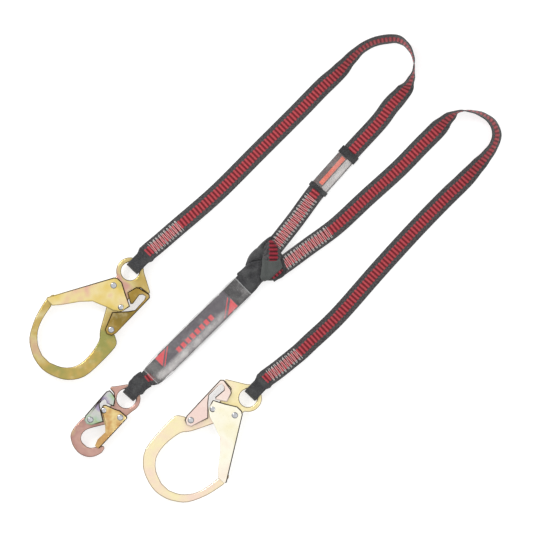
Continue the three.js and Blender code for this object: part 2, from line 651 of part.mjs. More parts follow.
// The doubled strap from the absorber to the junction: folded in the cover, open over the leg ends.
function topStrapGeometry() {
  const { start, knee, open, end, startWidth, endWidth, low, high } = TOP_STRAP;
  const middle = COVER.thickness / 2;
  const narrow = endWidth / startWidth;
  const plies = (side, height) => [
    { p: absorberPoint(start, middle + side * PLY / 2), w: absorberAcross },
    { p: absorberPoint(knee, middle + side * PLY / 2), w: absorberAcross },
    { p: absorberPoint(open, height), w: absorberAcross },
    { p: new THREE.Vector3(...end, height), w: absorberAcross, widen: narrow },
  ];
  const upper = plies(1, high).reverse();
  const fold = foldStations(upper[3].p, absorberAxis.clone().negate(), -PLY, absorberAcross);
  return sweep(withNormals([...upper, ...fold, ...plies(-1, low)]), rectangle(startWidth, WEBBING.thickness));
}

// The wrap around the junction: a shell with one way in for each of the three straps.
function wrapGeometry() {
  const { outline, top, skin, reach, ways } = WRAP;
  const shell = plate(polygon(smooth([...outline, outline[0]], 2).slice(1)), 0, top, 2);
  const tools = ways.map(([x, y, heading, width]) => (
    box([0, -width / 2], [reach, width / 2], skin, top - skin).rotateZ(radians(heading)).translate(x, y, 0)
  ));
  return cut(shell, ...tools);
}

function absorberMeshes() {
  const { from, to, width, thickness, height } = ABSORBER_LABEL;
  return [
    part('absorber_cover', coverGeometry(), FINISHES.film()),
    part('absorber_label', straightSweep(from, to, height, rectangle(width, thickness)), FINISHES.label()),
    part('tear_webbing', tearWebbingGeometry(), FINISHES.blackWebbing()),
    part('absorber_bottom_strap', bottomStrapGeometry(), FINISHES.blackWebbing()),
    part('snap_hook_eye_sleeve', eyeSleeveGeometry(HOOKS[2]), FINISHES.blackWebbing()),
    part('absorber_top_strap', topStrapGeometry(), FINISHES.blackWebbing()),
    part('junction_wrap', wrapGeometry(), FINISHES.blackWebbing()),
  ];
}

// ---------------------------------------------------------------- assembly
function part(name, geometry, material) {
  const mesh = new THREE.Mesh(geometry, material);
  mesh.name = name;
  return mesh;
}

const lanyard = new THREE.Group();
lanyard.add(
  ...HOOKS.map(hookGroup),
  ...legMeshes(LEG_A),
  ...legMeshes(LEG_B),
  ...pouchMeshes(),
  ...absorberMeshes(),
);
lanyard.position.set(-LAYOUT_CENTRE[0], -LAYOUT_CENTRE[1], 0);
export default lanyard;
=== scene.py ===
"""Twin-leg shock absorbing lanyard on a pale floor, seen from above.

Everything is in metres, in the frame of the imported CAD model. Straps follow the centre lines of
their CAD solids, read back from the meshes, so each soft piece lies where the model holds it.
"""

import itertools
import math

import bmesh
import bpy
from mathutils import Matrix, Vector, noise
from mathutils.geometry import delaunay_2d_cdt


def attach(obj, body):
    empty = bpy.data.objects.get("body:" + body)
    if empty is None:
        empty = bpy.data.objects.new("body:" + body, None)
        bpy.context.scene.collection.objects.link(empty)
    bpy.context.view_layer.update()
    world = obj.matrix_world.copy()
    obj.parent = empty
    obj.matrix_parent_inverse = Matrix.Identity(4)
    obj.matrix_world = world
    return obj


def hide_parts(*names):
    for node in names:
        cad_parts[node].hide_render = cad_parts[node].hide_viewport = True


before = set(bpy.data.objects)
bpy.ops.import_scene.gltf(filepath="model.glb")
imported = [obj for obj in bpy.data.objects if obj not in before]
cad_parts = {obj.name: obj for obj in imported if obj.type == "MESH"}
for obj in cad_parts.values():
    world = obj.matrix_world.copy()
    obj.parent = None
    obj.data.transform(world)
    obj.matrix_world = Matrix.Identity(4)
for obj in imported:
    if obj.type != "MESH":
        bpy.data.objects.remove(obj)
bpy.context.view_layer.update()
SCENE = bpy.context.scene

MM = 0.001
WELD = 2e-6
UP = Vector((0, 0, 1))
ROOT = "strap_assembly"
HOOKS = ("hook_a", "hook_b", "snap_hook")
LEGS = ("leg_a", "leg_b")


# ---- small sums
def clamped(value):
    return min(max(value, 0), 1)


def eased(t):
    return t * t * (3 - 2 * t)


def sign(value):
    return 1 if value > 0 else -1


def ripple(x, y, z):
    return noise.noise(Vector((x, y, z)))


def rounded_rise(distance, radius):
    """Height of a quarter-round edge: 0 at the edge, 1 from radius inwards."""
    t = min(distance / radius, 1)
    return math.sqrt(1 - (1 - t) ** 2)


def segment_distance(point, a, b):
    """Distance in the plane from point to the segment from a to b."""
    ab = b - a
    t = clamped((point - a).dot(ab) / max(ab.length_squared, 1e-12))
    return (point - a - ab * t).length


# ---- node materials
class Graph:
    """A short way to write a node material."""

    def __init__(self, name):
        self.material = bpy.data.materials.new(name)
        self.material.use_nodes = True
        self.tree = self.material.node_tree
        self.shader = self.tree.nodes["Principled BSDF"]

    def node(self, kind, **settings):
        made = self.tree.nodes.new("ShaderNode" + kind)
        for key, value in settings.items():
            setattr(made, key, value)
        return made

    def feed(self, socket, value):
        """value is another node's output, a display hex colour or a plain value."""
        if isinstance(value, bpy.types.NodeSocket):
            self.tree.links.new(value, socket)
        else:
            socket.default_value = rgb(value) if isinstance(value, str) else value

    def set(self, **values):
        for name, value in values.items():
            self.feed(self.shader.inputs[name.replace("_", " ")], value)

    def math(self, operation, first, second=0.0, third=0.0):
        made = self.node("Math", operation=operation)
        for socket, value in zip(made.inputs, (first, second, third)):
            self.feed(socket, value)
        return made.outputs[0]

    def times(self, first, second):
        return self.math("MULTIPLY", first, second)

    def scaled(self, value, factor, offset):
        return self.math("MULTIPLY_ADD", value, factor, offset)

    def rest(self, value):
        """What value leaves of 1."""
        return self.math("SUBTRACT", 1.0, value)

    def wave(self, value, period):
        """A sine of value, from 0 to 1."""
        turns = self.times(value, 2 * math.pi / period)
        return self.scaled(self.math("SINE", turns), 0.5, 0.5)

    def band(self, value, low, high):
        """0 below low, 1 above high, smooth between them."""
        made = self.node("MapRange", interpolation_type="SMOOTHSTEP")
        for socket, item in zip(made.inputs, (value, low, high, 0.0, 1.0)):
            self.feed(socket, item)
        return made.outputs[0]

    def mix(self, share, first, second):
        made = self.node("Mix", data_type="RGBA")
        self.feed(made.inputs["Factor"], share)
        self.feed(made.inputs[6], first)
        self.feed(made.inputs[7], second)
        return made.outputs[2]

    def blend(self, share, first, second):
        made = self.node("Mix", data_type="FLOAT")
        self.feed(made.inputs["Factor"], share)
        self.feed(made.inputs[2], first)
        self.feed(made.inputs[3], second)
        return made.outputs[0]

    def noise(self, scale, detail=2.0, vector=None, roughness=0.5):
        made = self.node("TexNoise")
        self.feed(made.inputs["Vector"], vector or self.place())
        for key, value in {"Scale": scale, "Detail": detail, "Roughness": roughness}.items():
            self.feed(made.inputs[key], value)
        return made.outputs["Fac"]

    def ramp(self, value, *stops):
        made = self.node("ValToRGB")
        elements = made.color_ramp.elements
        while len(elements) < len(stops):
            elements.new(0.5)
        for element, (position, colour) in zip(elements, stops):
            element.position = position
            element.color = colour
        self.feed(made.inputs[0], value)
        return made.outputs[0]

    def place(self):
        """Object coordinates."""
        return self.node("TexCoord").outputs["Object"]

    def strip(self):
        """(millimetres across, millimetres along) on a swept piece, from its UVs."""
        split = self.node("SeparateXYZ")
        self.feed(split.inputs[0], self.node("UVMap").outputs["UV"])
        return split.outputs[0], split.outputs[1]

    def towards_viewer(self):
        """1 where the surface faces the viewer, 0 where it turns edge-on."""
        geometry = self.node("NewGeometry")
        dot = self.node("VectorMath", operation="DOT_PRODUCT")
        self.feed(dot.inputs[0], geometry.outputs["Normal"])
        self.feed(dot.inputs[1], geometry.outputs["Incoming"])
        return self.math("ABSOLUTE", dot.outputs["Value"])

    def level(self):
        """1 on a piece's top and bottom faces, 0 on its upright ones."""
        split = self.node("SeparateXYZ")
        self.feed(split.inputs[0], self.node("TexCoord").outputs["Normal"])
        return self.math("ABSOLUTE", split.outputs[2])

    def bump(self, height, strength, distance):
        made = self.node("Bump")
        for key, value in {"Strength": strength, "Distance": distance, "Height": height}.items():
            self.feed(made.inputs[key], value)
        self.feed(self.shader.inputs["Normal"], made.outputs[0])


def rgb(code):
    """A display hex colour as opaque linear light."""
    channels = [int(code[i:i + 2], 16) / 255 for i in (0, 2, 4)]
    linear = [c / 12.92 if c <= 0.04045 else ((c + 0.055) / 1.055) ** 2.4 for c in channels]
    return (*linear, 1.0)


def twill(graph, across, along, period):
    """Height of a fine diagonal weave, 0 to 1, for strip coordinates in millimetres."""
    warp = graph.math("SINE", graph.times(across, 2 * math.pi / period))
    slant = graph.math("ADD", along, graph.times(across, 0.8))
    weft = graph.math("SINE", graph.times(slant, 2 * math.pi / (period * 1.3)))
    return graph.scaled(graph.times(warp, weft), 0.5, 0.5)


# Webbing and thread, mm: a rib's length, half the red stripe's width, a turn of the thread's ply.
RIB_PITCH = 6.6
STRIPE_HALF = 7.2
PLY_TWIST = 0.7


def leg_webbing_material(name, dark_reds=("4e1018", "7c1d28"), light_reds=("a8343d", "cc5a60")):
    g = Graph(name)
    across, along = g.strip()
    weave = twill(g, across, along, 1.1)
    speckle = g.band(g.noise(420), 0.36, 0.66)
    dark = g.mix(weave, "252426", "434143")
    dark = g.mix(g.times(speckle, 0.6), dark, "605e5e")
    wobble = g.scaled(g.noise(300), 1.6, -0.8)
    edge = g.math("ADD", g.math("ABSOLUTE", across), wobble)
    phase = g.times(along, 2 * math.pi / RIB_PITCH)
    groove = g.band(g.math("SINE", g.times(phase, 3.0)), -0.4, 0.6)
    rib = g.band(g.wave(along, RIB_PITCH), 0.22, 0.7)
    half_width = g.scaled(rib, 1.1, STRIPE_HALF - 0.8)
    in_stripe = g.rest(g.band(g.math("SUBTRACT", edge, half_width), -0.5, 0.5))
    dark_red = g.mix(weave, *dark_reds)
    light_red = g.mix(weave, *light_reds)
    light_red = g.mix(g.times(groove, 0.35), light_red, "8c2630")
    red = g.mix(g.times(rib, g.blend(speckle, 1.0, 0.78)), dark_red, light_red)
    g.set(Base_Color=g.mix(in_stripe, dark, red), Roughness=0.86)
    g.set(Sheen_Weight=0.2, Sheen_Roughness=0.5, Specular_IOR_Level=0.25)
    height = g.scaled(g.times(rib, in_stripe), 1.2, weave)
    g.bump(height, 0.5, 0.0004)
    return g.material


def black_webbing_material(name, low="1d1d1f", high="3c3c3e", period=1.2):
    g = Graph(name)
    across, along = g.strip()
    weave = twill(g, across, along, period)
    worn = g.band(g.noise(55, 4), 0.42, 0.7)
    speckle = g.band(g.noise(480), 0.4, 0.7)
    base = g.mix(weave, low, high)
    base = g.mix(g.times(speckle, 0.35), base, "565658")
    g.set(Base_Color=g.mix(g.times(worn, 0.4), base, "5a5b5a"), Roughness=0.8)
    g.set(Sheen_Weight=0.3, Sheen_Roughness=0.45, Specular_IOR_Level=0.3)
    g.bump(weave, 0.45, 0.0004)
    return g.material


def thread_material():
    """Pale thread, seen pinker where it is drawn down into the red stripe."""
    g = Graph("stitch_thread")
    across, along = g.strip()
    ply = g.wave(along, PLY_TWIST)
    tone = g.noise(220)
    base = g.mix(tone, "b3aca8", "ebe6e2")
    base = g.mix(g.times(ply, 0.35), base, "8f8682")
    over_red = g.rest(g.band(g.math("ABSOLUTE", across), STRIPE_HALF - 1.2, STRIPE_HALF + 0.6))
    base = g.mix(g.times(over_red, g.blend(tone, 0.7, 0.25)), base, "dc7c7e")
    g.set(Base_Color=base, Roughness=0.6, Sheen_Weight=0.25)
    g.bump(ply, 0.3, 0.0002)
    return g.material


# Colour of the shadow line painted along a pressed sheet's drawn rims.
RIM_SHADOW_COLOUR = "2e2212"


def plated_material(name, tints, edge, offset, scale=16):
    """Zinc plating that drifts between tints, with painted shade in the edge colour on upright faces seen
    edge-on and a painted shadow line along drawn rims.
    """
    g = Graph(name)
    shifted = g.node("VectorMath", operation="ADD")
    g.feed(shifted.inputs[0], g.place())
    shifted.inputs[1].default_value = (offset, offset * 1.7, 0)
    spread = g.noise(scale, 3, shifted.outputs[0], 0.55)
    film = g.noise(60, 4, roughness=0.6)
    low, high = 0.34, 0.66
    stops = [(low + (high - low) * i / (len(tints) - 1), rgb(tint)) for i, tint in enumerate(tints)]
    base = g.ramp(spread, *stops)
    base = g.mix(g.times(g.band(film, 0.5, 0.8), 0.3), base, "efe6c2")
    speck = g.band(g.noise(520, 3), 0.6, 0.8)
    base = g.mix(g.times(speck, 0.2), base, "6f6540")
    level = g.level()
    # Painted shade: upright faces seen edge-on turn to the edge colour.
    turned = g.rest(g.math("MAXIMUM", g.band(g.towards_viewer(), 0.55, 0.97), g.band(level, 0.6, 0.98)))
    # Painted shadow: a dark line along drawn rims, from the sheet's rim attribute.
    rim = g.node("Attribute", attribute_name="rim").outputs["Fac"]
    rim = g.times(rim, g.band(level, 0.2, 0.55))
    base = g.mix(g.times(turned, 0.88), base, edge)
    base = g.mix(g.band(rim, 0.05, 0.8), base, RIM_SHADOW_COLOUR)
    g.set(Base_Color=base, Metallic=0.85)
    g.set(Roughness=g.blend(film, 0.26, 0.42))
    g.bump(g.math("ADD", g.noise(300, 4), g.times(g.noise(40), 2.0)), 0.1, 0.0004)
    return g.material


def rivet_material():
    g = Graph("rivet_steel")
    tone = g.noise(180, 3)
    g.set(Base_Color=g.mix(tone, "a9abb0", "dcdde0"), Metallic=1.0)
    g.set(Roughness=g.blend(tone, 0.16, 0.3))
    g.bump(g.noise(500), 0.08, 0.0002)
    return g.material


def spring_material():
    g = Graph("spring_steel")
    tone = g.noise(400)
    g.set(Base_Color=g.mix(tone, "6c6d70", "a8a9ac"), Metallic=1.0, Roughness=0.35)
    return g.material


def film_material(name, glare, length, base_haze):
    """Clear film, milky at its cut ends, with a painted highlight in a whitish streak along one side and
    painted shade where it is seen edge-on.

    glare is (middle, half width, from, to) in mm on the strip, the place of that painted highlight.
    """
    g = Graph(name)
    across, along = g.strip()
    cloud = g.band(g.noise(45, 4, roughness=0.6), 0.38, 0.72)
    # Painted highlight: a whitish streak standing in for the light's reflection on the film.
    middle, half, begin, end = glare
    off = g.math("DIVIDE", g.math("ABSOLUTE", g.math("SUBTRACT", across, middle)), half)
    core = g.rest(g.band(off, 0.1, 1.0))
    window = g.times(g.band(along, begin, begin + 14), g.rest(g.band(along, end - 25, end)))
    fading = g.scaled(g.band(along, begin + 30, end), -0.6, 1.0)
    glare_streak = g.times(g.times(core, window), g.blend(cloud, 0.3, 0.72))
    glare_streak = g.times(glare_streak, fading)
    ends = g.math("MINIMUM", along, g.math("SUBTRACT", length, along))
    cut_edge = g.rest(g.band(ends, 0.6, 3.0))
    haze_and_glare = g.scaled(cloud, 0.1, base_haze)
    haze_and_glare = g.math("MAXIMUM", g.math("MAXIMUM", haze_and_glare, glare_streak), g.times(cut_edge, 0.2))
    # Painted shade: the film turns dark grey and more opaque where it is seen edge-on.
    side = g.rest(g.band(g.towards_viewer(), 0.1, 0.5))
    tint = g.mix(side, g.mix(cut_edge, "d9d5d3", "f2f2f2"), "3e3e44")
    g.set(Base_Color=tint, Roughness=0.15, IOR=1.45)
    g.set(Coat_Weight=0.3, Coat_Roughness=0.08)
    g.set(Alpha=g.math("MAXIMUM", haze_and_glare, g.times(side, 0.82)))
    g.bump(g.noise(70, 3), 0.35, 0.001)
    return g.material


def sheet_material(name, first, second):
    g = Graph(name)
    g.set(Base_Color=g.mix(g.noise(50, 3), first, second), Roughness=0.5)
    g.bump(g.noise(300), 0.05, 0.0002)
    return g.material


def print_material(name, first, second):
    g = Graph(name)
    g.set(Base_Color=g.mix(g.noise(120), first, second), Roughness=0.45)
    return g.material


RIVET = rivet_material()
SPRING = spring_material()
MATERIALS = {
    "leg": leg_webbing_material("leg_webbing"),
    # A darker copy of the leg webbing: painted shade for the red stripe turned under in the junction.
    "turned": leg_webbing_material("shaded_turned_webbing", ("34090f", "561019"), ("7c1626", "a83444")),
    "smooth": black_webbing_material("smooth_webbing", "3a3d3b", "565a57", 0.9),
    # A darker copy of the black webbing: painted shade for the bundle's core between the plies and for the
    # dark corner ply.
    "deep": black_webbing_material("shadowed_black_webbing", "121213", "29292b"),
    "black": black_webbing_material("black_webbing"),
    "elastic": black_webbing_material("black_elastic", "161618", "313133", 0.8),
    "thread": thread_material(),
    # The film streaks given here are painted highlights.
    "film": film_material("clear_film", (-10.5, 11.5, 2, 180), 215, 0.035),
    "pouch_film": film_material("pouch_clear_film", (-9, 7, 2, 96), 82, 0.03),
    "label": sheet_material("label_sheet", "423c43", "57515a"),
    "insert": sheet_material("pouch_insert", "483a39", "655453"),
    "panel": sheet_material("pouch_panel", "77716f", "c9c6c4"),
    "orange_print": print_material("orange_print", "c44a38", "e38068"),
    "red_print": print_material("red_print", "c9323a", "dd5058"),
}
# Tints along the drift, edge colour (painted shade on upright faces seen edge-on), place in the noise and,
# for small parts, its scale.
METAL_TINTS = {
    "hook_a": {
        "body": (("9c9a58", "c2a760", "d2c288", "cfa090"), "6e5730", 3.1),
        "gate": (("c2bd80", "e3c870", "ead79c", "e3b3a2"), "7d5a40", 1.4),
        "lock_lever": (("8a7436", "a98a40", "c9a85c"), "b08c74", 5.2),
    },
    "hook_b": {
        "body": (("ecd896", "f8ecbe", "f6ddca"), "7a5e36", 2.2),
        "gate": (("f6efcb", "fdf9e6", "faeddc"), "43341c", 4.7),
        "lock_lever": (("f6e9c4", "f8e8de", "f3d8cf"), "805c40", 0.6),
    },
    "snap_hook": {
        "body": (("b98f7b", "c9a094", "b88c84", "cdb78c"), "6e5040", 6.3),
        "gate": (("b5865a", "cfa468", "ecd596", "f6ebb8"), "4e3f22", 7.9, 26),
        "lock_lever": (("a6bd78", "b3c8b4", "cbccc8", "a99dba"), "45443a", 9.4, 34),
    },
}
MADE_OF = {"body": "forging", "gate": "gate_sheet", "lock_lever": "lever_sheet"}
METALS = {hook: {part: plated_material(f"{hook}_{MADE_OF[part]}", *look) for part, look in parts.items()}
          for hook, parts in METAL_TINTS.items()}


# ---- straps read back from the frame
def welded(node):
    bm = bmesh.new()
    bm.from_mesh(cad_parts[node].data)
    bmesh.ops.remove_doubles(bm, verts=bm.verts, dist=WELD)
    return bm


# A strap's end face: greatest angle between its triangles; thickness, least width and play, mm.
FLAT_ANGLE = 0.02
THINNEST, THICKEST = 1.5, 2.4
LEAST_WIDTH = 29
SAME_LENGTH = 0.01


def cap_ring(bm):
    """The four corners of one end of a swept strap, in order around it."""
    for edge in bm.edges:
        if edge.calc_face_angle(1) > FLAT_ANGLE:
            continue
        rim = sorted(e.calc_length() / MM for f in edge.link_faces for e in f.edges if e is not edge)
        thin = rim[0] > THINNEST and rim[1] < THICKEST
        if thin and rim[2] > LEAST_WIDTH and rim[3] - rim[2] < SAME_LENGTH:
            start, end = edge.verts
            sides = [next(v for v in f.verts if v not in edge.verts) for f in edge.link_faces]
            return [start, sides[0], end, sides[1]]
    raise ValueError("no strap end")


def same_turn(ring, order):
    """Whether both rings of corners go round the strap the same way."""
    facing = [(b[2].co - b[0].co).cross(b[3].co - b[1].co) for b in (ring, order)]
    return facing[0].dot(facing[1]) > 0


def strap_stations(node):
    """The stations of a swept CAD strap: [(centre, half width vector, half thickness vector)]."""
    bm = welded(node)
    ring = cap_ring(bm)
    seen = set(ring)
    rings = [ring]
    while True:
        nearby = [{e.other_vert(v) for e in v.link_edges} - seen for v in ring]
        onward = set().union(*nearby)
        if not onward:
            break
        ring = min((order for order in itertools.permutations(onward, 4)
                    if all(vert in near for vert, near in zip(order, nearby)) and same_turn(ring, order)),
                   key=lambda order: sum((a.co - b.co).length_squared for a, b in zip(ring, order)))
        seen.update(ring)
        rings.append(ring)
    stations = []
    for ring in rings:
        for shift in range(4):
            a, b, c, d = (ring[(i + shift) % 4].co.copy() for i in range(4))
            width, depth = (b + c - a - d) / 4, (c + d - a - b) / 4
            if width.length > depth.length and (not stations or width.dot(stations[-1][1]) > 0):
                stations.append(((a + b + c + d) / 4, width, depth))
                break
    bm.free()
    return stations


def hermite(values, knots, index, t):
    """A smooth value between values[index] and values[index + 1], with slopes from the neighbours."""
    def slope(i):
        if i == 0 or i == len(values) - 1:
            j = min(i, len(values) - 2)
            return (values[j + 1] - values[j]) / (knots[j + 1] - knots[j])
        before, after = knots[i] - knots[i - 1], knots[i + 1] - knots[i]
        left = (values[i] - values[i - 1]) / before
        right = (values[i + 1] - values[i]) / after
        return (left * after + right * before) / (before + after)

    span = knots[index + 1] - knots[index]
    t2, t3 = t * t, t * t * t
    return (values[index] * (2 * t3 - 3 * t2 + 1) + values[index + 1] * (3 * t2 - 2 * t3)
            + slope(index) * (span * (t3 - 2 * t2 + t)) + slope(index + 1) * (span * (t3 - t2)))


def smoothed(stations, step):
    """Closer, smooth stations: [(centre, across, normal, half width, distance)], metres."""
    knots = [0.0]
    for (p, _, _), (q, _, _) in zip(stations, stations[1:]):
        knots.append(knots[-1] + (q - p).length)
    tracks = list(zip(*stations))
    made = []
    for i in range(len(stations) - 1):
        count = max(1, math.ceil((knots[i + 1] - knots[i]) / step))
        for k in range(count + (i == len(stations) - 2)):
            t = k / count
            centre, width, depth = (hermite(values, knots, i, t) for values in tracks)
            across = width.normalized()
            normal = (depth - across * depth.dot(across)).normalized()
            made.append((centre, across, normal, width.length, knots[i] * (1 - t) + knots[i + 1] * t))
    return made


# ---- mesh pieces
def shade(mesh, smooth):
    mesh.polygons.foreach_set("use_smooth", [smooth] * len(mesh.polygons))


def placed(mesh, body, replaces):
    """An object of its own for mesh, on a CAD body, in the place of the CAD nodes it replaces."""
    made = bpy.data.objects.new(mesh.name, mesh)
    SCENE.collection.objects.link(made)
    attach(made, body)
    if replaces:
        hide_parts(*replaces)
    return made


def piece(name, verts, faces, finish, replaces=(), uvs=None):
    """A mesh piece on the strap assembly, in one of the MATERIALS."""
    mesh = bpy.data.meshes.new(name)
    mesh.from_pydata([tuple(v) for v in verts], [], faces)
    if uvs:
        layer = mesh.uv_layers.new(name="UVMap")
        for loop in mesh.loops:
            layer.data[loop.index].uv = uvs[loop.vertex_index]
    bm = bmesh.new()
    bm.from_mesh(mesh)
    bmesh.ops.recalc_face_normals(bm, faces=bm.faces)
    bm.to_mesh(mesh)
    bm.free()
    mesh.materials.append(MATERIALS[finish])
    shade(mesh, True)
    mesh.update()
    return placed(mesh, ROOT, replaces)


def ribbon_section(half_width, half_thickness, marks):
    """Points (across, height) in mm round a strap with rounded edges.

    marks are extra positions across.
    """
    radius = half_thickness * 0.85
    edge = [(half_width - radius + radius * math.cos(a), half_thickness * math.sin(a))
            for a in (math.radians(d) for d in (0, 30, 60, 90))]
    inner = sorted({m for m in marks if abs(m) < half_width - radius - 0.1})
    top = edge + [(m, half_thickness) for m in reversed(inner)]
    top += [(-x, y) for x, y in reversed(edge)]
    return top + [(x, -y) for x, y in reversed(top[1:-1])]


def rounded_section(half_width, half_height, radius, per_corner=5, per_side=8):
    """Points in mm round a box with rounded corners, its long sides cut in per_side steps."""
    points = []
    for sx, sy, start in ((1, 1, 0), (-1, 1, 90), (-1, -1, 180), (1, -1, 270)):
        cx, cy = sx * (half_width - radius), sy * (half_height - radius)
        for k in range(per_corner):
            angle = math.radians(start + 90 * k / (per_corner - 1))
            points.append((cx + radius * math.cos(angle), cy + radius * math.sin(angle)))
    filled = []
    for (x0, y0), (x1, y1) in zip(points, points[1:] + points[:1]):
        steps = per_side if math.hypot(x1 - x0, y1 - y0) > half_width / 2 else 1
        filled += [(x0 + (x1 - x0) * k / steps, y0 + (y1 - y0) * k / steps) for k in range(steps)]
    return filled


def sweep(name, stations, section, finish, nominal=None, relief=None, wall=None, **rides):
    """A section in mm swept along smoothed stations.

    nominal is the half width the section is drawn for, widened to each station's own. relief moves a
    point (across, height, along) by (across, height). wall leaves the piece open as a tube that thick.
    """
    count = len(section)
    verts, uvs, faces, inward = [], [], [], []
    for i in range(count):
        (x0, y0), (x1, y1) = section[i - 1], section[(i + 1) % count]
        inward.append(Vector((y0 - y1, x1 - x0)).normalized())
    for depth in (0.0, wall) if wall else (0.0,):
        for centre, across, normal, half, along in stations:
            widen = half / (nominal * MM) if nominal else 1
            for i, (a, b) in enumerate(section):
                extra = relief(a, b, along / MM) if relief else (0.0, 0.0)
                x = (a + extra[0] + inward[i][0] * depth) * widen
                y = b + extra[1] + inward[i][1] * depth
                verts.append(centre + across * (x * MM) + normal * (y * MM))
                uvs.append((a, along / MM))
    last, inner = (len(stations) - 1) * count, len(stations) * count
    for k in range(len(stations) - 1):
        for i in range(count):
            a, b = k * count + i, k * count + (i + 1) % count
            faces.append((a, b, b + count, a + count))
            if wall:
                faces.append((inner + a, inner + a + count, inner + b + count, inner + b))
    if wall:
        for i in range(count):
            j = (i + 1) % count
            faces.append((i, inner + i, inner + j, j))
            faces.append((last + i, last + j, inner + last + j, inner + last + i))
    else:
        faces.append(tuple(range(count))[::-1])
        faces.append(tuple(last + i for i in range(count)))
    return piece(name, verts, faces, finish, uvs=uvs, **rides)


TUBE_SIDES = 6


def tube(name, path, radius, finish, aside, **rides):
    """A round thread through the points of path, metres.

    aside is each point's place across its strap, mm.
    """
    verts, uvs, faces = [], [], []
    along = 0.0
    sides = TUBE_SIDES
    for k, point in enumerate(path):
        ahead = path[min(k + 1, len(path) - 1)] - path[max(k - 1, 0)]
        tangent = ahead.normalized()
        side = tangent.cross(UP)
        side = side.normalized() if side.length > 1e-3 else tangent.orthogonal().normalized()
        lift = side.cross(tangent)
        along += (point - path[k - 1]).length / MM if k else 0.0
        for i in range(sides):
            angle = 2 * math.pi * i / sides
            verts.append(point + (side * math.cos(angle) + lift * math.sin(angle)) * radius)
            uvs.append((aside[k], along))
    for k in range(len(path) - 1):
        for i in range(sides):
            a, b = k * sides + i, k * sides + (i + 1) % sides
            faces.append((a, a + sides, b + sides, b))
    faces.append(tuple(range(sides)))
    faces.append(tuple((len(path) - 1) * sides + i for i in range(sides))[::-1])
    return piece(name, verts, faces, finish, uvs=uvs, **rides)


# ---- legs
# Straps, mm: half widths of a leg and in an eye's loop, half thickness, positions round the stripe.
LEG_HALF = 15
LOOP_HALF = 12
STRAP_HALF_THICKNESS = 1.05
STRIPE_MARKS = (-12.5, -8.2, -7.4, -7.0, -3.5, 0, 3.5, 7.0, 7.4, 8.2, 12.5)
RIB_RISE = 0.22
SELVEDGE = 14

# Zigzag stitching, mm: thread radius, row distance, half width, slant of a row.
THREAD = 0.52
ROW_PITCH = 3.0
THREAD_HALF = 11.2
ROW_SLANT = 0.8
# One row: (share of the half width, height above the strap's face).
ROW = ((-1, -1.2), (-0.94, -0.1), (-0.5, 0.12), (0, 0.16), (0.5, 0.12), (0.94, -0.1), (1, -1.2))


def rib_wave(along):
    """0 in a dark furrow, 1 on a light rib."""
    wave = 0.5 + 0.5 * math.sin(2 * math.pi * along / RIB_PITCH)
    return eased(clamped((wave - 0.25) / 0.5))


def leg_relief(a, b, along):
    on_stripe = 1 if abs(a) < STRIPE_HALF else 0
    rib = rib_wave(along) * RIB_RISE * on_stripe
    ragged = 0.18 * ripple(along * 0.35, a, 0.0)
    edge = ragged if abs(a) > SELVEDGE else 0.0
    return edge * sign(a), sign(b) * (rib - 0.1)


def narrow_loop(stations):
    """The places in stations of the narrow loop through a hook's eye."""
    return [i for i, s in enumerate(stations) if s[1].length < LOOP_HALF * MM]


FINE = 1.0 * MM
TIGHT_STEP = 1.5 * MM


def main_run(stations):
    """The single run of a leg: after its eye loop, up to the tight fold in the junction."""
    narrow = narrow_loop(stations)
    hook_first = narrow[0] < len(stations) / 2
    ordered = stations if hook_first else stations[::-1]
    start = (narrow[-1] if hook_first else len(stations) - 1 - narrow[0]) + 1
    run = [ordered[start]]
    for station in ordered[start + 1:]:
        if (station[0] - run[-1][0]).length < TIGHT_STEP:
            break
        run.append(station)
    return run


def zigzag(run, begin, end, lift):
    """A thread laid back and forth over run, between two distances along it, in mm.

    Gives its points and each point's place across the strap.
    """
    fine = smoothed(run, FINE)
    points, places = [], []
    cursor = 0
    for row in range(int((end - begin) / ROW_PITCH) + 1):
        target = (begin + row * ROW_PITCH) * MM
        while cursor < len(fine) - 2 and fine[cursor][4] < target:
            cursor += 1
        centre, across, normal, _, _ = fine[cursor]
        up = normal if normal.z > 0 else -normal
        forward = across.cross(up).normalized()
        forward = forward if forward.dot(fine[cursor + 1][0] - centre) > 0 else -forward
        side = 1 if row % 2 else -1
        half = THREAD_HALF + 0.5 * math.sin(row * 1.7)
        for share, height in ROW:
            aside = share * side * half
            place = centre + across * (aside * MM) + forward * (share * ROW_SLANT * MM)
            points.append(place + up * ((abs(lift) + height) * sign(lift) * MM))
            places.append(aside)
    return points, places


def eye_wrap(name, stations, sleeve, full, narrow_from, reach):
    """The black sleeve round the strap in a hook's eye.

    It goes on past the narrow loop for reach mm at each end, spread to the strap's width over its last
    full mm and drawn in from narrow_from mm before its ends.
    """
    narrow = narrow_loop(stations)
    around = smoothed(stations[narrow[0] - 1:narrow[-1] + 2], FINE)
    lengths = [(stations[i + 1][0] - stations[i][0]).length for i in (narrow[0] - 1, narrow[-1])]
    begin, end = lengths[0] - reach * MM, around[-1][4] - lengths[1] + reach * MM
    loop = [s for s in around if begin <= s[4] <= end]
    middle, length = (begin + end) / 2 / MM, (end - begin) / MM

    def relief(a, b, along):
        from_end = length / 2 - abs(along - middle)
        spread = eased(clamped((narrow_from - from_end) / (narrow_from - full)))
        thin = 0.8 * clamped(1 - from_end / 20)
        rib = 0.14 * math.sin(along * 2.1) + 0.25 * ripple(a * 0.2, along * 0.12, 5)
        ragged = 0.35 * ripple(along * 0.22, 7 + sign(a), 2)
        return a * (0.28 * spread) + ragged * sign(a), (rib * (1 - spread) - thin) * sign(b)

    sweep(f"{name}_eye_wrap", loop, rounded_section(LOOP_HALF, 2.1, 1.6), "black", relief=relief,
          replaces=[sleeve])


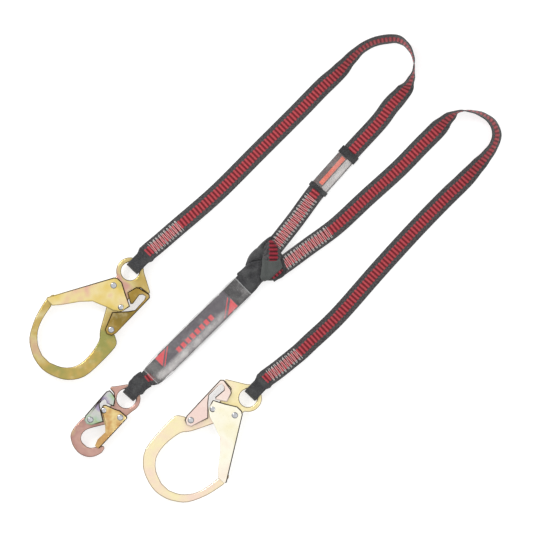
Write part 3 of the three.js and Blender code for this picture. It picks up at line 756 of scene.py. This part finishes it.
# Stitched zones, mm from a run's ends: (from its hook, from its junction).
ZONES = {"leg_a": ((6, 68), (37, 136)), "leg_b": ((6, 68), (28, 120))}
ABOVE, BELOW = 1.2, -3.5
SWEEP_STEP = 1.1 * MM


def strap(name, stations, half_width, marks, finish, half_thickness=STRAP_HALF_THICKNESS, **rides):
    """A flat strap along stations, with marks as extra positions across."""
    section = ribbon_section(half_width, half_thickness, marks)
    sweep(name, stations, section, finish, nominal=half_width, **rides)


def full_width(stations):
    """The same stations at the leg's full width, except in the narrow loop."""
    return [(c, a, n, LEG_HALF * MM if h > 10.5 * MM else h, s) for c, a, n, h, s in stations]


def stitched(name, run, begin, end, lift, **rides):
    path, aside = zigzag(run, begin, end, lift)
    tube(name, path, THREAD * MM, "thread", aside, **rides)


RUNS = {}
for leg in LEGS:
    stations = strap_stations(f"{leg}_webbing")
    run = RUNS[leg] = main_run(stations)
    strap(f"{leg}_strap", full_width(smoothed(stations, SWEEP_STEP)), LEG_HALF, STRIPE_MARKS, "leg",
          relief=leg_relief, replaces=[f"{leg}_webbing"])
    eye_wrap(leg, stations, f"{leg}_eye_sleeve", full=1.5, narrow_from=12.5, reach=5.5)
    length = smoothed(run, FINE)[-1][4] / MM
    at_hook, at_junction = ZONES[leg]
    spans = {"hook": at_hook, "junction": tuple(length - d for d in reversed(at_junction))}
    for place, (begin, end) in spans.items():
        stitched(f"{leg}_{place}_thread", run, begin, end, ABOVE, replaces=[f"{leg}_{place}_stitching"])
        stitched(f"{leg}_{place}_thread_below", run, begin, end, BELOW)


# ---- absorber
# The photo's centre in the CAD frame; from there, the cover's lower end and a point near its upper, mm.
SHIFT = Vector((1.39, 2.74, 0))
LOWER_END, UPPER_POINT = Vector((-191, -183, 0)), Vector((-43, -37, 0))
START = LOWER_END + SHIFT
AXIS = (UPPER_POINT - LOWER_END).normalized()
ACROSS = UP.cross(AXIS)
COVER_LENGTH, COVER_WIDTH, COVER_THICKNESS = 215, 42, 18


def at_absorber(along, across, height):
    """A point by its distances along and across the absorber and its height, mm."""
    return (START + AXIS * along + ACROSS * across + UP * height) * MM


def straight(begin, end, step, height):
    """Stations along the absorber, mm."""
    count = math.ceil((end - begin) / step)
    return [(at_absorber(begin + (end - begin) * k / count, 0, height), ACROSS.copy(), UP.copy(), 0.0,
             (end - begin) * k / count * MM) for k in range(count + 1)]


NARROWING, NARROWING_LENGTH = 225, 28


def strip_through(points, half_width, half_end=None):
    """Strap stations for a strip that runs along the absorber through points (along, height), mm.

    half_end is its half width past NARROWING, reached over NARROWING_LENGTH.
    """
    made = []
    for i, (along, height) in enumerate(points):
        ahead, behind = points[min(i + 1, len(points) - 1)], points[max(i - 1, 0)]
        travel = Vector((ahead[0] - behind[0], ahead[1] - behind[1])).normalized()
        normal = UP * travel.x - AXIS * travel.y
        share = clamped((along - NARROWING) / NARROWING_LENGTH) if half_end else 0
        half = half_width * (1 - share) + (half_end or half_width) * share
        made.append((at_absorber(along, 0, height), ACROSS * (half * MM), normal * MM))
    return made


def fold(along, low, high, direction):
    """Points of a tight half turn from one height to another, mm."""
    radius = (high - low) / 2
    return [(along + direction * abs(radius) * math.cos(angle), low + radius + radius * math.sin(angle))
            for angle in (math.radians(a) for a in (-60, -30, 0, 30, 60))]


# Tear webbing, mm: layers, their distance, the lowest one's height and the ends they run between.
TEAR_LAYERS, TEAR_PITCH, TEAR_BOTTOM = 5, 2.6, 3.8
TEAR_ENDS = (36, 172)
TEAR_STEPS = 8
PACK_HALF = 19
TAIL_HALF = 17.5
LOWER_STRAP_HALF = 17
PACK_STEP = 1.2 * MM

tear_points = []
for layer in range(TEAR_LAYERS):
    height = TEAR_BOTTOM + layer * TEAR_PITCH
    begin, end = TEAR_ENDS if layer % 2 == 0 else TEAR_ENDS[::-1]
    tear_points += [(begin + (end - begin) * k / TEAR_STEPS, height) for k in range(TEAR_STEPS + 1)]
    if layer < TEAR_LAYERS - 1:
        tear_points += fold(end, height, height + TEAR_PITCH, 1 if layer % 2 == 0 else -1)
tear = strip_through(tear_points, PACK_HALF)
tail = strip_through([(4, 12.6), (14, 12.7), (26, 13.3), (33.5, 14.2)], TAIL_HALF)
upper_ply = [(250, 14.9), (237, 14.9), (225, 14.6), (213, 12.4), (202, 10.25), (190, 10.25), (178, 10.25)]
lower_ply = [(178, 7.75), (190, 7.75), (202, 7.75), (213, 5.2), (225, 2.4), (237, 2.1), (250, 2.1)]
top = strip_through(upper_ply + fold(178, 10.25, 7.75, -1) + lower_ply, PACK_HALF, 15)
bottom = strap_stations("absorber_bottom_strap")


def film_relief(a, b, along):
    """Soft swells and creases, pinched flat and drawn in towards the cover's ends."""
    half_width, half_height = COVER_WIDTH / 2, COVER_THICKNESS / 2
    from_top = COVER_LENGTH - along
    near_end = max(0.0, 1 - min(along, from_top) / 26)
    across = ripple(a * 0.16, along * 0.035, b * 0.2)
    creases = ripple(a * 0.55, along * 0.06, 4.0 + b * 0.3)
    swell = 0.3 + 0.9 * across + near_end * (1.4 * creases - 1.2)
    size = math.hypot(a / half_width, b / half_height) or 1
    pinch = -2.2 * near_end * near_end if abs(b) > 5 else 0.0
    draw_in = 3.4 * max(0.0, 1 - along / 34) ** 1.4 + 1.2 * max(0.0, 1 - from_top / 12) ** 2
    return ((swell * 0.5 / size - draw_in) * a / half_width,
            (swell * 0.9 + pinch) * b / half_height / size)


def label_relief(a, b, along):
    return 0, 0.35 * ripple(a * 0.1, along * 0.04, 9)


sweep("absorber_film", straight(0, COVER_LENGTH, 1.6, COVER_THICKNESS / 2),
      rounded_section(COVER_WIDTH / 2, COVER_THICKNESS / 2, 4, 6, 16), "film",
      relief=film_relief, wall=0.4, replaces=["absorber_cover"])
sweep("absorber_label_sheet", straight(26, 186, 2, 16.2), ribbon_section(17.6, 0.2, range(-16, 17, 4)),
      "label", relief=label_relief, replaces=["absorber_label"])
strap("tear_pack", smoothed(tear, PACK_STEP), PACK_HALF, range(-18, 19, 6), "black", 1.15,
      replaces=["tear_webbing"])
strap("tear_webbing_tail", smoothed(tail, PACK_STEP), TAIL_HALF, range(-15, 16, 5), "black")
strap("absorber_lower_strap", smoothed(bottom, SWEEP_STEP), LOWER_STRAP_HALF, STRIPE_MARKS, "leg",
      relief=leg_relief, replaces=["absorber_bottom_strap"])
strap("absorber_upper_strap", smoothed(top, PACK_STEP), PACK_HALF, range(-16, 17, 4), "black",
      replaces=["absorber_top_strap"])
eye_wrap("snap_hook", bottom, "snap_hook_eye_sleeve", full=23, narrow_from=31, reach=11)

# The label's red print, in (along, across) mm, and the height of its patches.
PRINT_HEIGHT, PRINT_THICKNESS = 16.55, 0.12
BARS, BAR_START, BAR_PITCH, BAR_LENGTH, BAR_HALF = 8, 62, 10.6, 7.4, 4.5
PRINTS = {
    "lower_corner": [(27, 17), (27, -0.5), (50, 17)],
    "lower_line": [(54, 17), (29, -2.5), (29, -4.5), (57, 17)],
    "upper_corner": [(185, 0), (162, -17), (185, -17)],
    "upper_line": [(183, 5.5), (155, -15.5), (155, -17), (183, 3.5)],
}
for index in range(BARS):
    begin = BAR_START + index * BAR_PITCH
    end = begin + BAR_LENGTH
    PRINTS[f"bar_{index + 1}"] = [(begin, -BAR_HALF), (end, -BAR_HALF), (end, BAR_HALF), (begin, BAR_HALF)]


def printed(name, outline):
    """A flat patch of red print on the absorber's label."""
    levels = (PRINT_HEIGHT, PRINT_HEIGHT + PRINT_THICKNESS)
    verts = [at_absorber(along, across, height) for height in levels for along, across in outline]
    count = len(outline)
    faces = [tuple(range(count))[::-1], tuple(count + i for i in range(count))]
    faces += [(i, (i + 1) % count, count + (i + 1) % count, count + i) for i in range(count)]
    shade(piece(name, verts, faces, "red_print").data, False)


for name, outline in PRINTS.items():
    printed(f"print_{name}", outline)


# ---- junction
CURVE_STEPS = 5


def smooth_outline(points):
    """A closed smooth curve through points, mm."""
    ring = [Vector(p) for p in points]
    count = len(ring)
    made = []
    for i in range(count):
        p0, p1, p2, p3 = (ring[(i + k - 1) % count] for k in range(4))
        for k in range(CURVE_STEPS):
            t = k / CURVE_STEPS
            made.append(0.5 * (2 * p1 + (p2 - p0) * t + (2 * p0 - 5 * p1 + 4 * p2 - p3) * t * t
                               + (3 * p1 - p0 - 3 * p2 + p3) * t ** 3))
    return made


def edge_distance(point, outline):
    return min(segment_distance(point, a, b) for a, b in zip(outline, outline[1:] + outline[:1]))


def inside(point, outline):
    hit = False
    for a, b in zip(outline, outline[1:] + outline[:1]):
        if (a.y > point.y) != (b.y > point.y):
            hit ^= point.x < (b.x - a.x) * (point.y - a.y) / (b.y - a.y) + a.x
    return hit


def draped(name, points, top_of, bottom_of, finish, grid=1.6, uv=lambda x, y: (x, y), **rides):
    """A closed cloth patch with the given outline, between two heights that depend on the place."""
    outline = smooth_outline(points)
    xs, ys = [p.x for p in outline], [p.y for p in outline]
    inner = []
    y, row = min(ys) + grid, 0
    while y < max(ys):
        x = min(xs) + (grid / 2 if row % 2 else 0)
        while x < max(xs):
            spot = Vector((x, y))
            if inside(spot, outline) and edge_distance(spot, outline) > grid * 0.55:
                inner.append(spot)
            x += grid
        y += grid * 0.87
        row += 1
    count = len(outline)
    flat, _, triangles, *_ = delaunay_2d_cdt(
        outline + inner, [(i, (i + 1) % count) for i in range(count)], [], 1, 1e-5)
    verts, uvs = [], []
    for level in (top_of, bottom_of):
        for spot in flat:
            distance = edge_distance(spot, outline)
            verts.append((Vector((spot.x, spot.y, level(spot.x, spot.y, distance))) + SHIFT) * MM)
            uvs.append(uv(spot.x, spot.y))
    total = len(flat)
    faces = [tuple(t) for t in triangles] + [tuple(total + i for i in reversed(t)) for t in triangles]
    sides = [side for t in triangles for side in zip(t, t[1:] + t[:1])]
    shared = set(sides)
    faces += [(b, a, total + a, total + b) for a, b in sides if (b, a) not in shared]
    return piece(name, verts, faces, finish, uvs=uvs, **rides)


# The folded bundle, mm: outline, height of its rim, rise above that and over what distance, height.
CORE = [(-38, -20), (-41, -9), (-33, 1), (-32, 6), (-27, 19), (-15, 31), (-6, 40), (3, 46), (12, 43),
        (19, 33), (23, 24), (28, 17), (31, 9), (34, 0), (34, -9), (26, -18), (13, -23), (-4, -24),
        (-13, -32), (-22, -38)]
CORE_LINE = smooth_outline(CORE)
BUNDLE_RIM, BUNDLE_RISE, BUNDLE_SHOULDER, BUNDLE_HEIGHT = 10.0, 5.8, 9, 18.0


def dome(x, y):
    """Height of the folded bundle's top, mm, falling away round its outline."""
    spot = Vector((x, y))
    distance = edge_distance(spot, CORE_LINE) if inside(spot, CORE_LINE) else 0
    rise = rounded_rise(distance, BUNDLE_SHOULDER)
    return BUNDLE_RIM + BUNDLE_RISE * rise + 0.5 * ripple(x * 0.09, y * 0.09, 2)


def near_line(x, y, points, width):
    """A bump along the line through points: 1 on the line, falling off over width mm."""
    spot, line = Vector((x, y)), [Vector(p) for p in points]
    nearest = min(segment_distance(spot, a, b) for a, b in zip(line, line[1:]))
    return math.exp(-(nearest / width) ** 2)


UPRIGHT_CREASE = [(-4.5, 33), (-7, 8), (-8.5, -14), (-3, -24)]
CROSS_CREASE = [(-32, 2.5), (-19, 7.5), (-6, 8)]
# Each fold's creases (below 0) and swells: (height, line, width), mm.
LEFT_FOLDS = [(1.6, [(-24, 15), (-9, 21)], 8), (-2.6, CROSS_CREASE, 4), (-2.2, UPRIGHT_CREASE, 3.5)]
NECK_FOLDS = [(1.8, CROSS_CREASE, 4.5), (-2.6, UPRIGHT_CREASE, 4), (1.8, [(-36, -15), (-14, -4)], 4.5),
              (-1.8, [(-36, -5), (-20, -1)], 3), (-2.0, [(-25, -14), (-12, -30)], 3.5),
              (1.2, [(-33, -24), (-24, -34)], 4)]
FRONT_FOLDS = [(1.3, [(-3, 6), (-5, -18)], 4), (-1.5, [(26, 6), (12, -22)], 5)]
CORNER_FOLDS = [(1.2, [(-12, 32), (6, 46)], 4), (-1.5, [(-8, 27), (4, 40)], 3)]
TURNED_FOLDS = [(0.8, [(11, 12), (12, 38)], 7), (-1.2, [(4, 6), (20, 8)], 4)]


def creased(x, y, folds):
    return sum(height * near_line(x, y, line, width) for height, line, width in folds)


def along_leg_b(x, y):
    """Strap coordinates (across, along) mm on the strip of leg B that shows below the front ply."""
    along, across = Vector((0.77, 0.64)), Vector((0.64, -0.77))
    spot = Vector((x, y)) - Vector((16, -15))
    return spot.dot(across) + 5, spot.dot(along)


PLY_ROLL = 1.4


def ply_surfaces(lift, folds, depth=1.0, upper=True, thickness=1.7):
    """(top, bottom) heights of a cloth ply on the bundle, with rounded edges and creases."""
    def middle(x, y):
        height = dome(x, y) + lift + depth * creased(x, y, folds)
        return height if upper else BUNDLE_HEIGHT - height

    def half(distance):
        return thickness / 2 * rounded_rise(distance, PLY_ROLL) + 0.05

    return (lambda x, y, d: middle(x, y) + half(d)), (lambda x, y, d: middle(x, y) - half(d))


LEFT_FOLD = [(-34, 1), (-33, 8), (-28, 19), (-17, 30), (-7, 32), (-5, 22), (-6, 12), (-12, 7), (-22, 5)]
NECK = [(-49, -13), (-41, -5), (-33, 2.5), (-26, 6.5), (-17, 9), (-8, 9), (-7, 0), (-8.5, -12), (-11, -24),
        (-22, -40), (-30, -34), (-40, -22)]
FRONT = [(-6.5, 14), (-7.5, 4), (-9, -8), (-10, -19), (-4, -24.5), (2, -22.5), (8, -19), (15, -13),
         (21, -7.5), (26.5, -1), (25, 6), (22, 12), (16, 9.5), (8, 9), (0, 10)]
CORNER = [(-17, 28), (-10, 37), (-1, 45), (7, 50), (11, 47), (5, 41), (-1, 33), (-5, 26), (-11, 25)]
TURNED = [(-6, 8), (-6, 22), (-4, 32), (1, 40), (7, 45), (14, 39), (20, 31), (23, 24), (25, 16), (22, 8),
          (12, 5), (0, 5)]
LOWER_STRIPE = [(8, -20), (13, -14), (20, -8), (25, -4.5), (27, -7.5), (21, -14.5), (13, -20)]
# Outline, height above the bundle, folds and material of each ply on top.
PLIES = {
    "corner_ply": (CORNER, 0.4, CORNER_FOLDS, "deep"),
    # turned_ply and lower_stripe wear the leg webbing darkened as painted shade.
    "turned_ply": (TURNED, 0.9, TURNED_FOLDS, "turned"),
    "left_fold": (LEFT_FOLD, 1.3, LEFT_FOLDS, "black"),
    "neck_ply": (NECK, 2.0, NECK_FOLDS, "black"),
    "front_ply": (FRONT, 2.1, FRONT_FOLDS, "smooth"),
    "lower_stripe": (LOWER_STRIPE, 0.5, (), "turned"),
}
BACK_PLIES = {"neck": (NECK, NECK_FOLDS), "fold": (LEFT_FOLD, LEFT_FOLDS), "front": (FRONT, FRONT_FOLDS)}
STRIPE_MIDDLE = 11.5

# The bundle's core is the darker black webbing, painted shade where it shows between plies.
draped("junction_bundle", CORE, lambda x, y, d: dome(x, y), lambda x, y, d: BUNDLE_HEIGHT - dome(x, y) + 0.6,
       "deep", replaces=["junction_wrap"])
for name, (outline, lift, folds, finish) in PLIES.items():
    draped(f"junction_{name}", outline, *ply_surfaces(lift, folds), finish, grid=1.3,
           uv=along_leg_b if name == "lower_stripe" else lambda x, y: (x - STRIPE_MIDDLE, y))
for name, (outline, folds) in BACK_PLIES.items():
    surfaces = ply_surfaces(0.2, folds, depth=0.4, upper=False, thickness=1.2)
    draped(f"junction_back_{name}", outline, *surfaces, "black")


# ---- label pouch on leg A
def pouch_stretch(begin, end):
    """Leg A's stations between two distances from its junction end, mm.

    Their normals point up and their across to the right of the run.
    """
    fine = smoothed(RUNS["leg_a"], FINE)
    total = fine[-1][4] / MM
    stations = [s for s in fine if total - end <= s[4] / MM <= total - begin]
    made = []
    for i, (centre, _, normal, half, along) in enumerate(stations):
        up = normal if normal.z > 0 else -normal
        ahead = stations[min(i + 1, len(stations) - 1)][0] - stations[max(i - 1, 0)][0]
        made.append((centre, ahead.normalized().cross(up), up, half, along))
    return made


def pouch_relief(a, b, along):
    return 0.0, 0.5 * ripple(a * 0.12, along * 0.05, 3) * (1 if b > 0 else 0.3)


def elastic_relief(a, b, along):
    return 0, 0.12 * math.sin(along * 3.2) * sign(b)


# Each sheet in the pouch: its stretch, height and place across, mm, its section, material and node.
POUCH_SHEETS = {
    "insert": (157, 226, 1.55, 0, ribbon_section(13.5, 0.15, range(-12, 13, 4)), "insert", ["pouch_label"]),
    "print": (162, 221, 1.78, 2.5, ribbon_section(3.6, 0.06, ()), "orange_print", ()),
    "panel": (158, 224, 1.78, -8, ribbon_section(5.0, 0.06, ()), "panel", ()),
}
ELASTICS = {"lower": (149, 158), "upper": (222, 236)}

cover = pouch_stretch(150, 232)
cover_start = cover[0][4]
sweep("pouch_clear_film", [(c, a, n, h, s - cover_start) for c, a, n, h, s in cover],
      rounded_section(16, 2.5, 1.2, 4, 12), "pouch_film", relief=pouch_relief, wall=0.3,
      replaces=["pouch_film"])
for name, (begin, end, lift, aside, section, finish, replaces) in POUCH_SHEETS.items():
    lifted = [(c + n * (lift * MM) + a * (aside * MM), a, n, h, s)
              for c, a, n, h, s in pouch_stretch(begin, end)]
    sweep(f"pouch_{name}", lifted, section, finish, replaces=replaces)
for name, (begin, end) in ELASTICS.items():
    sweep(f"pouch_{name}_elastic", pouch_stretch(begin, end), rounded_section(17.2, 3.7, 1.6, 5, 10),
          "elastic", wall=0.9, relief=elastic_relief, replaces=[f"pouch_{name}_band"])


# ---- hooks
def refinish(node, material):
    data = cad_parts[node].data
    data.materials.clear()
    data.materials.append(material)


def forged(node, material, voxel=0.7, passes=10):
    """Rounds a CAD solid's edges the way a forging's are, without moving its faces."""
    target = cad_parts[node]
    refinish(node, material)
    target.modifiers.new("weld", "WELD").merge_threshold = WELD
    remesh = target.modifiers.new("remesh", "REMESH")
    remesh.mode = "VOXEL"
    remesh.voxel_size = voxel * MM
    remesh.use_smooth_shade = True
    soften = target.modifiers.new("soften", "SMOOTH")
    soften.iterations = passes
    soften.factor = 0.5


# A pressed sheet's drawn edge, mm: full width and fading of the shadow line painted along it, rise, and how
# much that painted shadow's strength adds to the rise.
RIM = (1.4, 0.6)
RIM_RISE, DARK_RISE = 0.25, 0.85
SOFT_EDGE = 0.25
TOWARD_EYE = Vector((0.69, 0.72))


def web_direction(bm):
    """The outward normal of a channel's web, its outermost large upright face."""
    centre = sum((v.co for v in bm.verts), Vector()) / len(bm.verts)
    sides = [f for f in bm.faces if abs(f.normal.z) < 0.1]
    largest = max(f.calc_area() for f in sides)
    return max((f for f in sides if f.calc_area() > 0.5 * largest),
               key=lambda f: f.normal.dot(f.calc_center_median() - centre)).normal.copy()


def folded_sheet(node, material, shadow_strengths):
    """A pressed steel channel with drawn edges.

    shadow_strengths is how dark the shadow lines painted along its edges on the web, towards the eye and
    elsewhere are.
    """
    bm = welded(node)
    bmesh.ops.dissolve_limit(bm, angle_limit=math.radians(1), verts=bm.verts, edges=bm.edges)
    heights = [v.co.z for v in bm.verts]
    low, high = min(heights), max(heights)
    web = web_direction(bm)

    def outermost(face):
        height = face.calc_center_median().z
        return abs(face.normal.z) > 0.9 and min(height - low, high - height) < 0.1 * MM

    def strength_of(normal):
        if normal.dot(web) > 0.95:
            return shadow_strengths[0]
        return shadow_strengths[1] if normal.xy.dot(TOWARD_EYE) > 0.45 else shadow_strengths[2]

    outer = [f for f in bm.faces if outermost(f)]
    faced = set(outer)
    outline = []
    for edge in {e for f in outer for e in f.edges}:
        beside = [f for f in edge.link_faces if f not in faced]
        if len(beside) == 1 and len(edge.link_faces) == 2:
            outline.append((*(v.co.xy for v in edge.verts), strength_of(beside[0].normal)))
    boundary = {v for f in outer for v in f.verts if any(g not in faced for g in v.link_faces)}
    for width in RIM:
        bmesh.ops.inset_region(bm, faces=outer, thickness=width * MM, use_even_offset=True, use_boundary=True)

    # Strength of the painted shadow line at a spot, from the nearest outline edge.
    def rim_shadow(spot):
        best = 0.0
        for a, b, strength in outline:
            distance = segment_distance(spot.xy, a, b) / MM
            best = max(best, strength * (1 - min(max(distance - RIM[0], 0) / RIM[1], 1)))
        return best

    middle = (low + high) / 2
    for vert in boundary:
        rise = (RIM_RISE + DARK_RISE * rim_shadow(vert.co)) * MM
        vert.co.z += rise * (1 if vert.co.z < middle else -1)
    mesh = bpy.data.meshes.new(f"{node}_pressed")
    bm.to_mesh(mesh)
    bm.free()
    # The rim attribute carries that painted shadow's strength to the material.
    rim = mesh.attributes.new("rim", "FLOAT", "POINT")
    for vert in mesh.vertices:
        rim.data[vert.index].value = rim_shadow(vert.co)
    mesh.materials.append(material)
    shade(mesh, True)
    made = placed(mesh, node, [node])
    made.modifiers.new("soft", "BEVEL").width = SOFT_EDGE * MM
    made.modifiers.new("flat", "WEIGHTED_NORMAL").keep_sharp = True


# How dark the shadow lines painted along each sheet's edges are: on the web, towards the eye, elsewhere.
EDGE_SHADOW_STRENGTHS = {
    "hook_a": {"gate": (0.35, 1.0, 0.4), "lock_lever": (0.45, 0.9, 0.6)},
    "hook_b": {"gate": (1.0, 1.0, 0.1), "lock_lever": (0.8, 0.7, 0.35)},
    "snap_hook": {"gate": (0.9, 1.0, 0.25), "lock_lever": (0.9, 0.8, 0.35)},
}
for hook in HOOKS:
    forged(f"{hook}_body", METALS[hook]["body"])
    for sheet in ("gate", "lock_lever"):
        folded_sheet(f"{hook}_{sheet}", METALS[hook][sheet], EDGE_SHADOW_STRENGTHS[hook][sheet])
    for rivet in ("gate_pivot_rivet", "gate_tail_rivet", "lever_pivot_rivet"):
        forged(f"{hook}_{rivet}", RIVET, voxel=0.3, passes=4)
    for spring in ("gate_spring", "lever_spring"):
        refinish(f"{hook}_{spring}", SPRING)
        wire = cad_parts[f"{hook}_{spring}"]
        wire.modifiers.new("weld", "WELD").merge_threshold = WELD
        wire.modifiers.new("round", "SUBSURF").render_levels = 1
        shade(wire.data, True)


# ---- studio
bpy.ops.mesh.primitive_plane_add(size=6, location=(0, 0, -0.0006))
floor = bpy.context.object
floor.name = "floor"
paper = Graph("paper_floor")
paper.set(Base_Color=paper.mix(paper.noise(3, 2), "bdbdbd", "c4c4c4"), Roughness=0.9)
paper.set(Emission_Color=(1, 1, 1, 1), Emission_Strength=0.62)
floor.data.materials.append(paper.material)

world = bpy.data.worlds.new("studio")
SCENE.world = world
world.use_nodes = True
sky = world.node_tree
background = sky.nodes["Background"]
split = sky.nodes.new("ShaderNodeSeparateXYZ")
sky.links.new(sky.nodes.new("ShaderNodeTexCoord").outputs["Generated"], split.inputs[0])
rise = sky.nodes.new("ShaderNodeMapRange")
rise.interpolation_type = "SMOOTHSTEP"
for socket, value in zip(list(rise.inputs)[1:], (0.1, 0.75, 0.22, 1.0)):
    socket.default_value = value
sky.links.new(split.outputs[2], rise.inputs[0])
sky.links.new(rise.outputs[0], background.inputs[0])
background.inputs[1].default_value = 0.95


def soft_light(name, place, size, watts):
    data = bpy.data.lights.new(name, "AREA")
    data.size = size
    data.energy = watts
    light = bpy.data.objects.new(name, data)
    light.location = place
    light.rotation_euler = Vector(place).to_track_quat("Z", "Y").to_euler()
    SCENE.collection.objects.link(light)


soft_light("key", (-1.3, 1.1, 1.3), 0.7, 26)
soft_light("fill", (1.2, -0.6, 1.8), 1.4, 5)

VIEW_WIDTH = 0.87945
camera_data = bpy.data.cameras.new("camera")
camera_data.type = "ORTHO"
camera_data.ortho_scale = VIEW_WIDTH
camera = bpy.data.objects.new("camera", camera_data)
camera.location = (SHIFT.x * MM, SHIFT.y * MM, 2)
SCENE.collection.objects.link(camera)
SCENE.camera = camera
SCENE.view_settings.view_transform = "Standard"
